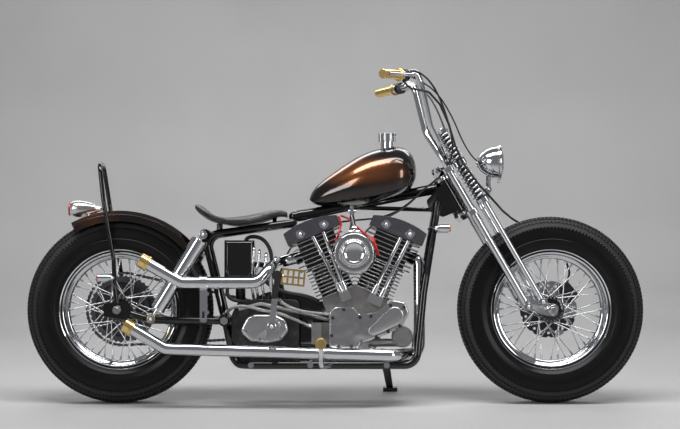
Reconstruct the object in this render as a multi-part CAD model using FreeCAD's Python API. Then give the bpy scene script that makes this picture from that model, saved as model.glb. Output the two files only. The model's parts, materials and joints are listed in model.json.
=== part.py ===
import FreeCAD
import Part
import functools
import math
import os
from FreeCAD import Placement, Rotation, Vector

# A chopper motorcycle, modelled upright about its mid-plane and then leaned onto its side stand.
# X runs forward, Y to the machine's left and Z up, in millimetres. The ground is at Z = 0 and
# X = 0 is half-way between the axles.

# Whole machine
WHEELBASE = 1558.0
LEAN_ANGLE = 5.0
RUNNING_GAP = 0.3
OVERRUN = 60.0
TUBE_RADIUS = 14.3
BOLT_RADIUS = 7.0

# Wheels and tyres
TYRE_RADIUS = 337.0
TYRE_WIDTH = 130.0
BEAD_RADIUS = 203.0
RIM_INNER_WIDTH = 76.0
RIM_WALL = 4.0
RIM_FLANGE_HEIGHT = 18.0
RIM_WELL_DEPTH = 15.0
RIM_WELL_WIDTH = 28.0
RIM_SHOULDER = 6.0
TYRE_FLANGE_STEP = 3.0
TYRE_ROUNDNESS = 2.3
TYRE_STATIONS = 9
SPOKE_RADIUS = 2.0
SPOKES_PER_SIDE = 20
SPOKE_SWEEP = 54.0
SPOKE_CIRCLE_RADIUS = 42.0
SPOKE_RIM_OFFSET = 9.0
HUB_RADIUS = 22.0
HUB_FLANGE_RADIUS = 48.0
HUB_FLANGE_WALL = 6.0
HUB_FLANGE_SPREAD = 32.0
HUB_HALF_LENGTH = 40.0
AXLE_RADIUS = 9.0
AXLE_NUT_RADIUS = 15.0
AXLE_NUT_LENGTH = 12.0

# Front brake
DISC_RADIUS = 104.0
DISC_WALL = 5.0
DISC_BAND = 34.0
DISC_OFFSET = 50.0
DISC_HOLES = 20
DISC_HOLE_RADIUS = 5.0
DISC_SCALLOPS = 10
DISC_SCALLOP_RADIUS = 9.0
CALLIPER_LENGTH = 70.0
CALLIPER_HEIGHT = 44.0
CALLIPER_THICKNESS = 40.0
CALLIPER_CLEARANCE = 5.0
CALLIPER_BEARING = 40.0

# Rear brake drum, sprocket and chain
DRUM_RADIUS = 100.0
DRUM_WALL = 36.0
SPROCKET_RADIUS = 125.0
SPROCKET_WALL = 6.0
SPROCKET_TOOTH_DEPTH = 7.0
SPROCKET_TEETH = 42
CHAIN_OFFSET = 84.0
CHAIN_WIDTH = 14.0
CHAIN_HEIGHT = 13.0
CHAIN_CLEARANCE = 1.0
DRIVE_SPROCKET_RADIUS = 50.0

# Leading-link spring fork, in its own frame: forward of the steering axis and up along it
RAKE = 30.0
FORK_OFFSET = 105.0
FORK_LENGTH = 559.0
STEM_RADIUS = 13.0
HEAD_TUBE_RADIUS = 27.0
HEAD_TUBE_TOP = 48.0
HEAD_TUBE_BOTTOM = -98.0
CROWN_GAP = 6.0
CROWN_HEIGHT = 18.0
FORK_HALF_WIDTH = 98.0
REAR_LEG_RADIUS = 15.0
REAR_LEG_FORWARD = 33.0
REAR_LEG_BOTTOM = -506.0
FRONT_LEG_RADIUS = 11.0
FRONT_LEG_FORWARD = 88.0
FRONT_PIVOT_RISE = 29.0
FRONT_LEG_BOTTOM = -546.0
YOKE_TOP = -86.0
YOKE_HEIGHT = 18.0
SPRING_HALF_SPREAD = 42.0
SPRING_RADIUS = 22.0
SPRING_WIRE = 6.0
SPRING_ROD_RADIUS = 6.0
LOAD_SPRING_TURNS = 7
REBOUND_SPRING_TURNS = 6
REBOUND_SPRING_LENGTH = 116.0
SPRING_CAP_HEIGHT = 10.0
ROCKER_WALL = 12.0
ROCKER_RADIUS = 21.0
ROCKER_GAP = 1.0
ROCKER_PIVOT_FORWARD = 34.0
ROCKER_PIVOT_RISE = 71.0

# Handlebar and its fittings, in the fork's frame
BAR_RADIUS = 12.7
BAR_BEND = 60.0
BAR_BASE_HALF = 45.0
BAR_RISE = 457.0
BAR_SPREAD = 345.0
GRIP_RADIUS = 17.0
GRIP_LENGTH = 112.0
LEVER_LENGTH = 150.0
LEVER_RADIUS = 5.0
LEVER_REACH = 62.0
PERCH_RADIUS = 18.0
PERCH_LENGTH = 20.0

# Headlamp
LAMP_RADIUS = 60.0
LAMP_FORWARD = 557.0
LAMP_HEIGHT = 870.0
LAMP_DEPTH = 92.0
LAMP_RIM_DEPTH = 14.0
LENS_BULGE = 10.0
LAMP_POST_RADIUS = 9.0

# Frame
NECK_HALF_WIDTH = 26.0
BACKBONE_RADIUS = 19.0
BACKBONE_NECK_RISE = 7.4
SEAT_RAIL_FRONT = -150.0
SEAT_RAIL_BELOW_ENGINE = 8.5
BACKBONE_OVER_RAIL = 23.0
SEAT_RAIL_DROP = 46.0
BRACE_RADIUS = 8.0
UPRIGHT_TOP = -471.0
UPRIGHT_HALF_WIDTH = 55.0
PIVOT_BACK = -396.0
PIVOT_HEIGHT = 298.0
RAIL_HEIGHT = 140.0
RAIL_HALF_WIDTH = 112.0
RAIL_FRONT = 296.0
RAIL_REAR = -300.0
DOWNTUBE_TOP_HALF = 20.0
CROSS_TUBE_RADIUS = 12.0
FRAME_BEND = 45.0

# Swingarm and shock absorbers
ARM_HALF_WIDTH = 112.0
ARM_RADIUS = 14.0
AXLE_PLATE_WALL = 10.0
AXLE_PLATE_LENGTH = 96.0
AXLE_PLATE_HEIGHT = 58.0
PIVOT_TUBE_RADIUS = 20.0
PIVOT_TUBE_REACH = 74.0
SHOCK_HALF_WIDTH = 150.0
SHOCK_TOP_BACK = -469.0
SHOCK_TOP_BELOW_RAIL = 0.5
SHOCK_FOOT_BACK = -654.0
SHOCK_FOOT_HEIGHT = 304.0
SHOCK_RADIUS = 30.0
SHOCK_BODY_RADIUS = 26.0
SHOCK_EYE_RADIUS = 15.0
SHOCK_EYE_WIDTH = 24.0
SHOCK_CLEARANCE = 44.0

# Engine: an air-cooled V-twin
CRANK_FORWARD = 71.0
CRANK_HEIGHT = 252.0
CYLINDER_ANGLE = 22.5
CASE_RADIUS = 92.0
CASE_HALF_WIDTH = 62.0
GEAR_CASE_WALL = 13.0
SIDE_BLOCK_LENGTH = 36.0
SIDE_BLOCK_HEIGHT = 76.0
SIDE_BLOCK_DEPTH = 34.0
BARREL_BASE = 160.0
BARREL_TOP = 275.0
BARREL_CORE_RADIUS = 60.0
BARREL_FIN_HALF = 79.0
BARREL_FINS = 9
HEAD_TOP = 380.0
HEAD_FIN_HALF = 98.0
HEAD_FINS = 7
FIN_DEPTH_HALF = 74.0
FIN_WALL = 4.0
FIN_CORNER = 24.0
V_CLEARANCE = 1.5
ROCKER_BOX_LENGTH = 204.0
ROCKER_BOX_HEIGHT = 60.0
ROCKER_BOX_OUTER_HEIGHT = 47.0
ROCKER_BOX_INNER_HEIGHT = 37.0
ROCKER_BOX_RIGHT = 104.0
ROCKER_BOX_LEFT = 62.0
ACORN_RADIUS = 9.0
PUSHROD_RADIUS = 8.0
PUSHROD_OFFSET = 89.0
PUSHROD_COVER_RADIUS = 11.5
TAPPET_LENGTH = 76.0
TAPPET_HEIGHT = 34.0
TAPPET_DEPTH = 30.0
CAM_COVER_DEPTH = 36.0
CAM_COVER_LENGTH = 287.0
CAM_COVER_HEIGHT = 177.0
CAM_COVER_BACK = -22.0
CAM_COVER_BOTTOM = 195.0
CAM_COVER_FILLET = 6.0
TIMER_RADIUS = 38.0
TIMER_FORWARD = 240.0
TIMER_HEIGHT = 240.0
PUMP_WIDTH = 36.0
PUMP_HEIGHT = 62.0
PUMP_DEPTH = 34.0
AIR_CLEANER_RADIUS = 77.0
AIR_CLEANER_DEPTH = 44.0
AIR_CLEANER_OFFSET = 152.0
AIR_CLEANER_FORWARD = 67.0
AIR_CLEANER_HEIGHT = 538.0
CARBURETTOR_RADIUS = 28.0
MANIFOLD_RADIUS = 21.0

# Gearbox, kick starter and primary drive
GEARBOX_BACK = -372.0
GEARBOX_FRONT = -130.0
GEARBOX_BOTTOM = 209.0
GEARBOX_TOP = 372.0
GEARBOX_HALF_WIDTH = 66.0
GEARBOX_CORNER = 26.0
KICK_COVER_BACK = -345.0
KICK_COVER_FRONT = -163.0
KICK_COVER_BOTTOM = 216.0
KICK_COVER_TOP = 321.0
KICK_COVER_DEPTH = 40.0
KICK_SHAFT_BACK = -222.0
KICK_SHAFT_HEIGHT = 281.0
KICK_SHAFT_RADIUS = 12.0
KICK_ARM_OFFSET = 240.0
KICK_ARM_WALL = 12.0
KICK_ARM_WIDTH = 24.0
KICK_ARM_TOP_BACK = -203.0
KICK_ARM_TOP_HEIGHT = 459.0
PEDAL_LENGTH = 84.0
PEDAL_HEIGHT = 58.0
PEDAL_WALL = 10.0
PEDAL_BAR = 7.0
PEDAL_COLUMNS = 4
PEDAL_TILT = -6.0
PRIMARY_INNER = 96.0
PRIMARY_DEPTH = 66.0
PRIMARY_FRONT_RADIUS = 85.0
PRIMARY_REAR_RADIUS = 112.0
CLUTCH_BACK = -222.0
CLUTCH_HEIGHT = 290.0
CLUTCH_DOME_RADIUS = 84.0
CLUTCH_DOME_DEPTH = 16.0
MAINSHAFT_RADIUS = 20.0

# Exhaust
PIPE_RADIUS = 21.0
PIPE_BEND = 52.0
UPPER_PIPE_OFFSET = 204.0
UPPER_PIPE_HEIGHT = 434.0
LOWER_PIPE_OFFSET = 172.0
LOWER_PIPE_HEIGHT = 192.0
TIP_RADIUS = 26.0
TIP_LENGTH = 34.0
TIP_WALL = 4.5
TIP_SOCKET = 14.0
HANGER_WIDTH = 26.0
HANGER_WALL = 5.0
HANGER_LENGTH = 140.0
HANGER_BACK = -464.0

# Fuel tank and cap
TANK_LENGTH = 387.0
TANK_HEIGHT = 217.0
TANK_BACK = -93.0
TANK_BELOW_BACKBONE = 65.0
TANK_HALF_WIDTH = 118.0
CAP_FORWARD = 190.0
CAP_RADIUS = 34.0
CAP_HEIGHT = 30.0
CAP_NECK_RADIUS = 25.0
CAP_NECK_HEIGHT = 18.0
CAP_GRIPS = 10
CAP_GRIP_RADIUS = 4.0

# Seat, tanks and rear bodywork
SEAT_LENGTH = 332.0
SEAT_BACK = -506.0
SEAT_HALF_WIDTH = 128.0
SEAT_THICKNESS = 20.0
SEAT_BELOW_RAIL = 10.0
SEAT_POST_RADIUS = 8.0
OIL_TANK_BACK = -398.0
OIL_TANK_FRONT = -290.0
OIL_TANK_HEIGHT = 146.0
OIL_TANK_BELOW_RAIL = 64.0
OIL_TANK_RIGHT = 104.0
OIL_TANK_LEFT = 62.0
OIL_TANK_CORNER = 18.0
GUARD_CLEARANCE = 17.0
GUARD_WALL = 3.0
GUARD_HALF_WIDTH = 78.0
GUARD_SKIRT = 36.0
GUARD_START = 33.0
GUARD_END = 119.0
TAIL_LAMP_LENGTH = 118.0
TAIL_LAMP_RADIUS = 31.0
TAIL_LAMP_BACK = -962.0
TAIL_LAMP_HEIGHT = 702.0
PLATE_WIDTH = 120.0
PLATE_DEPTH = 46.0
PLATE_WALL = 3.0
REST_RADIUS = 8.0
REST_HEIGHT = 864.0
REST_BACK = -851.0
REST_HALF_WIDTH = 62.0
REST_BEND = 42.0
MARKER_RADIUS = 14.0
MARKER_LENGTH = 60.0
MARKER_STEM_RADIUS = 5.0
REAR_MARKER_BACK = -845.0
REAR_MARKER_HEIGHT = 451.0
FRONT_MARKER_FORWARD = 350.0
FRONT_MARKER_HEIGHT = 629.0
FRONT_MARKER_OFFSET = 82.0

# Foot pegs and side stand
PEG_BACK = -50.0
PEG_HEIGHT = 222.0
PEG_REACH = 300.0
PEG_LENGTH = 90.0
PEG_RADIUS = 13.0
PEG_END_RADIUS = 19.0
PEG_END_LENGTH = 14.0
PEG_ARM_RADIUS = 9.0
STAND_FORWARD = 186.0
STAND_PIVOT_OFFSET = 155.0
STAND_PIVOT_HEIGHT = 136.0
STAND_FOOT_FORWARD = 206.0
STAND_FOOT_OFFSET = 284.0
STAND_WIDTH = 30.0
STAND_WALL = 13.0
STAND_HUB_RADIUS = 17.0
STAND_HUB_LENGTH = 26.0
STAND_PIN_RADIUS = 7.0
STAND_LUG_WALL = 8.0
STAND_PAD_LENGTH = 54.0
STAND_PAD_WIDTH = 40.0
STAND_PAD_WALL = 9.0
STAND_FOLDED_RISE = -22.0
STAND_FOLDED_OUT = 12.0

# Hoses and cables that the machine holds all the way
OIL_HOSE_RADIUS = 6.5
OIL_HOSE_BEND = 32.5
BRAKE_HOSE_RADIUS = 4.0
BRAKE_HOSE_BEND = 32.0
BRAKE_HOSE_POINTS = (
    # forward, side, height
    (238.0, -243.0, 1146.0), (262.0, -244.0, 1118.0), (330.0, -214.0, 1108.0), (372.0, -180.0, 1066.0),
    (404.0, -150.0, 1000.0), (428.0, -134.0, 925.0), (456.0, -130.0, 862.0), (508.0, -130.0, 790.0),
    (580.0, -72.0, 718.0), (608.0, 20.0, 698.0),
    (652.0, 86.0, 668.0), (724.0, 94.0, 628.0), (794.0, 94.0, 572.0), (850.0, 90.0, 512.0),
    (860.0, 72.0, 470.0), (850.0, 62.0, 434.0),
)

# Shapes, as shares of the sizes that they follow
BRACE_BACK_SHARE = 0.34
BRACE_NECK_SHARE = 0.73
TANK_SEAM_SHARE = 0.12
TANK_SEAM_WIDTH_SHARE = 0.87
TANK_STATION_SHARES = (
    # along, bottom, top, half-width
    (0.0, 0.10, 0.15, 0.22),
    (0.06, 0.02, 0.33, 0.42),
    (0.22, 0.0, 0.56, 0.60),
    (0.42, 0.0, 0.80, 0.80),
    (0.62, 0.06, 0.95, 0.95),
    (0.78, 0.14, 1.0, 1.0),
    (0.91, 0.24, 0.95, 0.86),
    (0.98, 0.38, 0.80, 0.58),
    (1.0, 0.50, 0.66, 0.22),
)
CAM_COVER_SHARES = (
    (0.0, 0.06), (0.0, 0.76), (0.08, 0.86), (0.30, 0.86), (0.38, 0.72),
    (0.58, 0.76), (0.80, 1.0), (0.95, 0.95), (1.0, 0.74), (0.90, 0.43),
    (0.50, 0.17), (0.39, 0.12), (0.36, 0.0), (0.04, 0.0),
)
KICK_COVER_SHARES = (
    (0.0, 0.42), (0.14, 0.88), (0.30, 1.0), (0.72, 1.0), (0.92, 0.82),
    (1.0, 0.46), (0.84, 0.10), (0.55, 0.0), (0.24, 0.06),
)
SEAT_UNDER_SHARE = 0.94
SEAT_STATION_SHARES = (
    # along, height over the base in seat lengths, half-width, droop in seat lengths
    (0.0, 0.190, 0.42, -0.006),
    (0.08, 0.120, 0.72, -0.01),
    (0.20, 0.040, 0.95, -0.02),
    (0.38, 0.012, 1.0, 0.01),
    (0.58, 0.036, 0.92, 0.03),
    (0.78, 0.088, 0.62, 0.03),
    (0.92, 0.120, 0.34, 0.02),
    (1.0, 0.100, 0.22, 0.01),
)


# Helpers

@functools.cache
def fork_placement():
    """Place of the fork's own frame: its origin on the steering axis, level with the head tube."""
    rake = math.radians(RAKE)
    forward = WHEELBASE / 2 - FORK_LENGTH * math.sin(rake) - FORK_OFFSET * math.cos(rake)
    height = TYRE_RADIUS + FORK_LENGTH * math.cos(rake) - FORK_OFFSET * math.sin(rake)
    return Placement(Vector(forward, 0, height), Rotation(Vector(0, 1, 0), -RAKE))


def fork_point(forward, side, rise):
    """A point of the fork's frame, in the upright machine's frame."""
    return fork_placement().multVec(Vector(forward, side, rise))


def turned_corner(before, corner, after, radius):
    """Start, middle and end of the arc that rounds a corner, or None where the way is straight."""
    incoming = (corner - before).normalize()
    outgoing = (after - corner).normalize()
    turn = incoming.getAngle(outgoing)
    if turn < 0.01:
        return None
    longest = 0.48 * min((corner - before).Length, (after - corner).Length)
    setback = min(radius * math.tan(turn / 2), longest)
    bend = setback / math.tan(turn / 2)
    inward = (outgoing - incoming).normalize()
    centre = corner + inward * (bend / math.cos(turn / 2))
    return corner - incoming * setback, centre - inward * bend, corner + outgoing * setback


def bent_path(points, radius):
    """Straight runs joined by tangent arcs."""
    edges = []
    start = points[0]
    for before, corner, after in zip(points, points[1:], points[2:]):
        arc = turned_corner(before, corner, after, radius)
        if arc is None:
            continue
        edges.append(Part.LineSegment(start, arc[0]).toShape())
        edges.append(Part.Arc(*arc).toShape())
        start = arc[2]
    edges.append(Part.LineSegment(start, points[-1]).toShape())
    return Part.Wire(edges)


def bent_rod(points, radius, bend):
    """A round rod or tube, filled, along a bent path."""
    profile = Part.Wire(Part.Circle(points[0], points[1] - points[0], radius).toShape())
    return bent_path(points, bend).makePipeShell([profile], True, False)


def rod(start, end, radius):
    """A straight round rod between two points."""
    return Part.makeCylinder(radius, (end - start).Length, start, end - start)


def slim_rod(start, end, radius):
    """A thin rod with six sides, for what repeats many times."""
    along = (end - start).normalize()
    across = along.cross(Vector(1, 1, 1)).normalize() * radius
    corners = [start + Rotation(along, 60 * index).multVec(across) for index in range(6)]
    return Part.Face(Part.makePolygon(corners + corners[:1])).extrude(end - start)


def cross_rod(forward, height, radius, low, high):
    """A round rod across the machine, from one side offset to another."""
    return rod(Vector(forward, low, height), Vector(forward, high, height), radius)


def rounded_wire(points, radius):
    """A closed outline with its corners rounded."""
    arcs = []
    for index, corner in enumerate(points):
        after = points[(index + 1) % len(points)]
        arcs.append(turned_corner(points[index - 1], corner, after, radius) if radius else None)
    edges = []
    for index, corner in enumerate(points):
        follower = (index + 1) % len(points)
        start = arcs[index][2] if arcs[index] else corner
        end = arcs[follower][0] if arcs[follower] else points[follower]
        if arcs[index]:
            edges.append(Part.Arc(*arcs[index]).toShape())
        edges.append(Part.LineSegment(start, end).toShape())
    return Part.Wire(edges)


def side_plate(points, low, high, radius=0):
    """A plate parallel to the mid-plane: an outline of (forward, height) points between two offsets."""
    corners = [Vector(forward, low, height) for forward, height in points]
    return Part.Face(rounded_wire(corners, radius)).extrude(Vector(0, high - low, 0))


def turned(outline, centre):
    """A body turned about a line across the machine, from (side offset, radius) points."""
    points = [centre + Vector(0, side, radius) for side, radius in outline]
    return Part.Face(Part.makePolygon(points + points[:1])).revolve(centre, Vector(0, 1, 0), 360)


def block(low, high):
    """A plain block between two opposite corners."""
    size = high - low
    return Part.makeBox(size.x, size.y, size.z, low)


def fused(shapes):
    """Pieces joined into one, with the seams between them taken out where the form stays sound."""
    joined = shapes[0].multiFuse(shapes[1:])
    clean = joined.copy().removeSplitter()
    return clean if clean.isValid() else joined


def largest(shape):
    """The main solid of a cut piece, without the chips that the cut leaves."""
    return max(shape.Solids, key=lambda piece: piece.Volume)


def both_sides(shape):
    """A piece and its mirror image across the mid-plane."""
    return [shape, shape.mirror(Vector(0, 0, 0), Vector(0, 1, 0))]


def front_axle():
    return Vector(WHEELBASE / 2, 0, TYRE_RADIUS)


def rear_axle():
    return Vector(-WHEELBASE / 2, 0, TYRE_RADIUS)


def place_on_ground():
    """The lean onto the side stand, with the lowest point of the tyres left on the ground."""
    lean = Rotation(Vector(1, 0, 0), -LEAN_ANGLE)
    ring = lean.multVec(Vector(0, 0, -TYRE_RADIUS))
    axle = lean.multVec(Vector(0, 0, TYRE_RADIUS))
    return Placement(Vector(0, 0, -(axle.z + ring.z)), lean)


# Wheels

def tyre_outline():
    """Half-round section of a fat tyre, standing on the bead seats inside the rim's flanges."""
    middle = (TYRE_RADIUS + BEAD_RADIUS) / 2
    height = (TYRE_RADIUS - BEAD_RADIUS) / 2
    bead = RIM_INNER_WIDTH / 2
    flange_top = BEAD_RADIUS + RIM_FLANGE_HEIGHT + TYRE_FLANGE_STEP
    start = -math.asin((middle - flange_top) / height)
    power = 2 / TYRE_ROUNDNESS
    outline = [(-bead, BEAD_RADIUS), (bead, BEAD_RADIUS), (bead, flange_top)]
    for index in range(TYRE_STATIONS):
        angle = start + (math.pi - 2 * start) * index / (TYRE_STATIONS - 1)
        side = math.copysign(abs(math.cos(angle)) ** power, math.cos(angle)) * TYRE_WIDTH / 2
        radius = middle + math.copysign(abs(math.sin(angle)) ** power, math.sin(angle)) * height
        outline.append((side, radius))
    outline.append((-bead, flange_top))
    return outline


def tyre(axle):
    return turned(tyre_outline(), axle)


def rim(axle):
    bead = RIM_INNER_WIDTH / 2
    outer = bead + RIM_WALL
    flange = BEAD_RADIUS + RIM_FLANGE_HEIGHT
    well = RIM_WELL_WIDTH / 2
    shoulder = well + RIM_SHOULDER
    half = [(outer, flange), (bead, flange), (bead, BEAD_RADIUS), (shoulder, BEAD_RADIUS),
            (well, BEAD_RADIUS - RIM_WELL_DEPTH)]
    inner = [(well, BEAD_RADIUS - RIM_WELL_DEPTH - RIM_WALL), (shoulder, BEAD_RADIUS - RIM_WALL),
             (outer, BEAD_RADIUS - RIM_WALL)]
    mirrored = [(-side, radius) for side, radius in half]
    mirrored_inner = [(-side, radius) for side, radius in inner]
    return turned(half + mirrored[::-1] + mirrored_inner[::-1] + inner, axle)


def spokes(axle):
    """Crossing spokes from each hub flange to the rim's well."""
    rim_radius = BEAD_RADIUS - RIM_WELL_DEPTH - RIM_WALL / 2
    shapes = []
    for side in (-1, 1):
        for index in range(SPOKES_PER_SIDE):
            sweep = SPOKE_SWEEP if index % 2 else -SPOKE_SWEEP
            shift = (0.5 if side > 0 else 0) * 360 / SPOKES_PER_SIDE
            angle = math.radians(index * 360 / SPOKES_PER_SIDE + shift)
            far = angle + math.radians(sweep)
            start = Vector(math.cos(angle), 0, math.sin(angle)) * SPOKE_CIRCLE_RADIUS
            end = Vector(math.cos(far), 0, math.sin(far)) * rim_radius
            start.y = side * HUB_FLANGE_SPREAD
            end.y = side * SPOKE_RIM_OFFSET
            shapes.append(slim_rod(axle + start, axle + end, SPOKE_RADIUS))
    return shapes


def hub(axle, half_length):
    flange_in = HUB_FLANGE_SPREAD - HUB_FLANGE_WALL / 2
    flange_out = HUB_FLANGE_SPREAD + HUB_FLANGE_WALL / 2
    bore = AXLE_RADIUS + RUNNING_GAP
    half = [(half_length, bore), (half_length, HUB_RADIUS), (flange_out, HUB_RADIUS),
            (flange_out, HUB_FLANGE_RADIUS), (flange_in, HUB_FLANGE_RADIUS), (flange_in, HUB_RADIUS)]
    mirrored = [(-side, radius) for side, radius in half]
    return turned(half + mirrored[::-1], axle)


def wire_wheel(axle):
    return fused([rim(axle), hub(axle, HUB_HALF_LENGTH)] + spokes(axle))


def brake_disc():
    """Drilled front disc with a scalloped edge, on the left flank of the front hub."""
    axle = front_axle()
    low = DISC_OFFSET - DISC_WALL / 2
    high = DISC_OFFSET + DISC_WALL / 2
    disc = cross_rod(axle.x, axle.z, DISC_RADIUS, low, high)
    cuts = [cross_rod(axle.x, axle.z, HUB_RADIUS + RUNNING_GAP, low - OVERRUN, high + OVERRUN)]
    band = DISC_RADIUS - DISC_BAND / 2
    for index in range(DISC_HOLES):
        angle = 2 * math.pi * index / DISC_HOLES
        spot = axle + Vector(math.cos(angle), 0, math.sin(angle)) * band
        cuts.append(cross_rod(spot.x, spot.z, DISC_HOLE_RADIUS, low - OVERRUN, high + OVERRUN))
    for index in range(DISC_SCALLOPS):
        angle = 2 * math.pi * (index + 0.5) / DISC_SCALLOPS
        reach = DISC_RADIUS + DISC_SCALLOP_RADIUS / 2
        spot = axle + Vector(math.cos(angle), 0, math.sin(angle)) * reach
        cuts.append(cross_rod(spot.x, spot.z, DISC_SCALLOP_RADIUS, low - OVERRUN, high + OVERRUN))
    carrier = cross_rod(axle.x, axle.z, HUB_FLANGE_RADIUS, HUB_FLANGE_SPREAD + HUB_FLANGE_WALL / 2, low)
    hollow = cross_rod(axle.x, axle.z, HUB_RADIUS, 0, DISC_OFFSET + OVERRUN)
    return fused([disc.cut(Part.makeCompound(cuts)), carrier.cut(hollow)])


def rear_drum():
    """Brake drum on the left flank of the rear hub, which carries the toothed sprocket."""
    axle = rear_axle()
    inner = HUB_FLANGE_SPREAD + HUB_FLANGE_WALL / 2
    plate_low = CHAIN_OFFSET - SPROCKET_WALL / 2
    plate_high = CHAIN_OFFSET + SPROCKET_WALL / 2
    outline = [(inner, HUB_RADIUS + RUNNING_GAP), (inner, DRUM_RADIUS * 0.86), (inner + DRUM_WALL / 4, DRUM_RADIUS),
               (plate_low, DRUM_RADIUS), (plate_low, AXLE_RADIUS + RUNNING_GAP),
               (HUB_HALF_LENGTH, AXLE_RADIUS + RUNNING_GAP), (HUB_HALF_LENGTH, HUB_RADIUS + RUNNING_GAP)]
    drum = turned(outline, axle)
    teeth = []
    for index in range(2 * SPROCKET_TEETH):
        radius = SPROCKET_RADIUS - (index % 2) * SPROCKET_TOOTH_DEPTH
        angle = math.pi * index / SPROCKET_TEETH
        teeth.append((axle.x + radius * math.cos(angle), axle.z + radius * math.sin(angle)))
    plate = side_plate(teeth, plate_low, plate_high)
    bore = cross_rod(axle.x, axle.z, AXLE_RADIUS + RUNNING_GAP, 0, CHAIN_OFFSET + OVERRUN)
    return fused([drum, plate.cut(bore)])


# Fork, in its own frame unless said otherwise

def upright_rod(forward, side, low, high, radius):
    """A rod along the steering axis, given in the fork's frame."""
    return rod(fork_point(forward, side, low), fork_point(forward, side, high), radius)


def crown_plate(points, low, high, radius):
    """A plate square to the steering axis: an outline of (forward, side) points of the fork's frame."""
    corners = [Vector(forward, side, low) for forward, side in points]
    plate = Part.Face(rounded_wire(corners, radius)).extrude(Vector(0, 0, high - low))
    plate.Placement = fork_placement()
    return plate


def upper_crown_low():
    return HEAD_TUBE_TOP + CROWN_GAP


def lower_crown_high():
    return HEAD_TUBE_BOTTOM - CROWN_GAP


def spring_perch_outline():
    """Outline of the upper crown: rear legs, stem and the spring perch in front of them."""
    wide = FORK_HALF_WIDTH + REAR_LEG_RADIUS + FRONT_LEG_RADIUS / 2
    back = -STEM_RADIUS * 1.7
    legs_front = REAR_LEG_FORWARD + REAR_LEG_RADIUS * 1.3
    perch = FRONT_LEG_FORWARD + SPRING_RADIUS
    perch_half = SPRING_HALF_SPREAD + SPRING_RADIUS
    right = [(back, -STEM_RADIUS * 2), (REAR_LEG_FORWARD - REAR_LEG_RADIUS * 1.3, -wide), (legs_front, -wide),
             (legs_front + SPRING_RADIUS / 2, -perch_half), (perch, -perch_half)]
    return right + [(forward, -side) for forward, side in right[::-1]]


@functools.cache
def fork_chassis():
    """Rigid rear legs with both crowns and the steering stem."""
    low = upper_crown_low()
    high = low + CROWN_HEIGHT
    upper = crown_plate(spring_perch_outline(), low, high, STEM_RADIUS)
    floor = lower_crown_high() - CROWN_HEIGHT
    wide = FORK_HALF_WIDTH + REAR_LEG_RADIUS + FRONT_LEG_RADIUS / 2
    right = [(-STEM_RADIUS * 1.8, -STEM_RADIUS * 2), (REAR_LEG_FORWARD - REAR_LEG_RADIUS * 1.4, -wide),
             (REAR_LEG_FORWARD + REAR_LEG_RADIUS * 1.4, -wide), (REAR_LEG_FORWARD + STEM_RADIUS / 2, 0)]
    outline = right + [(forward, -side) for forward, side in right[-2::-1]]
    lower = crown_plate(outline, floor, lower_crown_high(), STEM_RADIUS)
    pieces = [upper, lower, upright_rod(0, 0, floor, high, STEM_RADIUS)]
    for side in (-FORK_HALF_WIDTH, FORK_HALF_WIDTH):
        pieces.append(upright_rod(REAR_LEG_FORWARD, side, REAR_LEG_BOTTOM, high, REAR_LEG_RADIUS))
    chassis = fused(pieces)
    for side in (-SPRING_HALF_SPREAD, SPRING_HALF_SPREAD):
        chassis = chassis.cut(upright_rod(FRONT_LEG_FORWARD, side, low - OVERRUN, high + OVERRUN,
                                          SPRING_ROD_RADIUS + RUNNING_GAP))
    return chassis.cut(fork_rockers())


@functools.cache
def spring_fork_legs():
    """Front legs with their yoke and the two spring rods that rise through the perch."""
    yoke_low = YOKE_TOP - YOKE_HEIGHT
    wide = FORK_HALF_WIDTH + FRONT_LEG_RADIUS * 1.4
    deep = FRONT_LEG_RADIUS * 1.5
    outline = [(FRONT_LEG_FORWARD - deep, -wide), (FRONT_LEG_FORWARD + deep, -wide),
               (FRONT_LEG_FORWARD + SPRING_RADIUS, -SPRING_HALF_SPREAD), (FRONT_LEG_FORWARD + SPRING_RADIUS,
                                                                         SPRING_HALF_SPREAD),
               (FRONT_LEG_FORWARD + deep, wide), (FRONT_LEG_FORWARD - deep, wide),
               (FRONT_LEG_FORWARD - SPRING_RADIUS, SPRING_HALF_SPREAD),
               (FRONT_LEG_FORWARD - SPRING_RADIUS, -SPRING_HALF_SPREAD)]
    pieces = [crown_plate(outline, yoke_low, YOKE_TOP, FRONT_LEG_RADIUS)]
    top = upper_crown_low() + CROWN_HEIGHT + REBOUND_SPRING_LENGTH + SPRING_CAP_HEIGHT
    for side in (-1, 1):
        pieces.append(upright_rod(FRONT_LEG_FORWARD, side * FORK_HALF_WIDTH, FRONT_LEG_BOTTOM, yoke_low,
                                  FRONT_LEG_RADIUS))
        pieces.append(upright_rod(FRONT_LEG_FORWARD, side * SPRING_HALF_SPREAD, YOKE_TOP, top,
                                  SPRING_ROD_RADIUS))
        pieces.append(upright_rod(FRONT_LEG_FORWARD, side * SPRING_HALF_SPREAD, top - SPRING_CAP_HEIGHT, top,
                                  SPRING_RADIUS * 0.8))
    return fused(pieces).cut(fork_rockers())


def coil_outline(low, high, turns):
    """Section of a coil spring's sleeve, its outside waved once per turn."""
    pitch = (high - low) / turns
    outline = [(SPRING_RADIUS - SPRING_WIRE, low)]
    for index in range(turns):
        start = low + index * pitch
        outline.append((SPRING_RADIUS - SPRING_WIRE / 2, start))
        outline.append((SPRING_RADIUS, start + pitch / 2))
    outline.append((SPRING_RADIUS - SPRING_WIRE / 2, high))
    outline.append((SPRING_RADIUS - SPRING_WIRE, high))
    return outline


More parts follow.
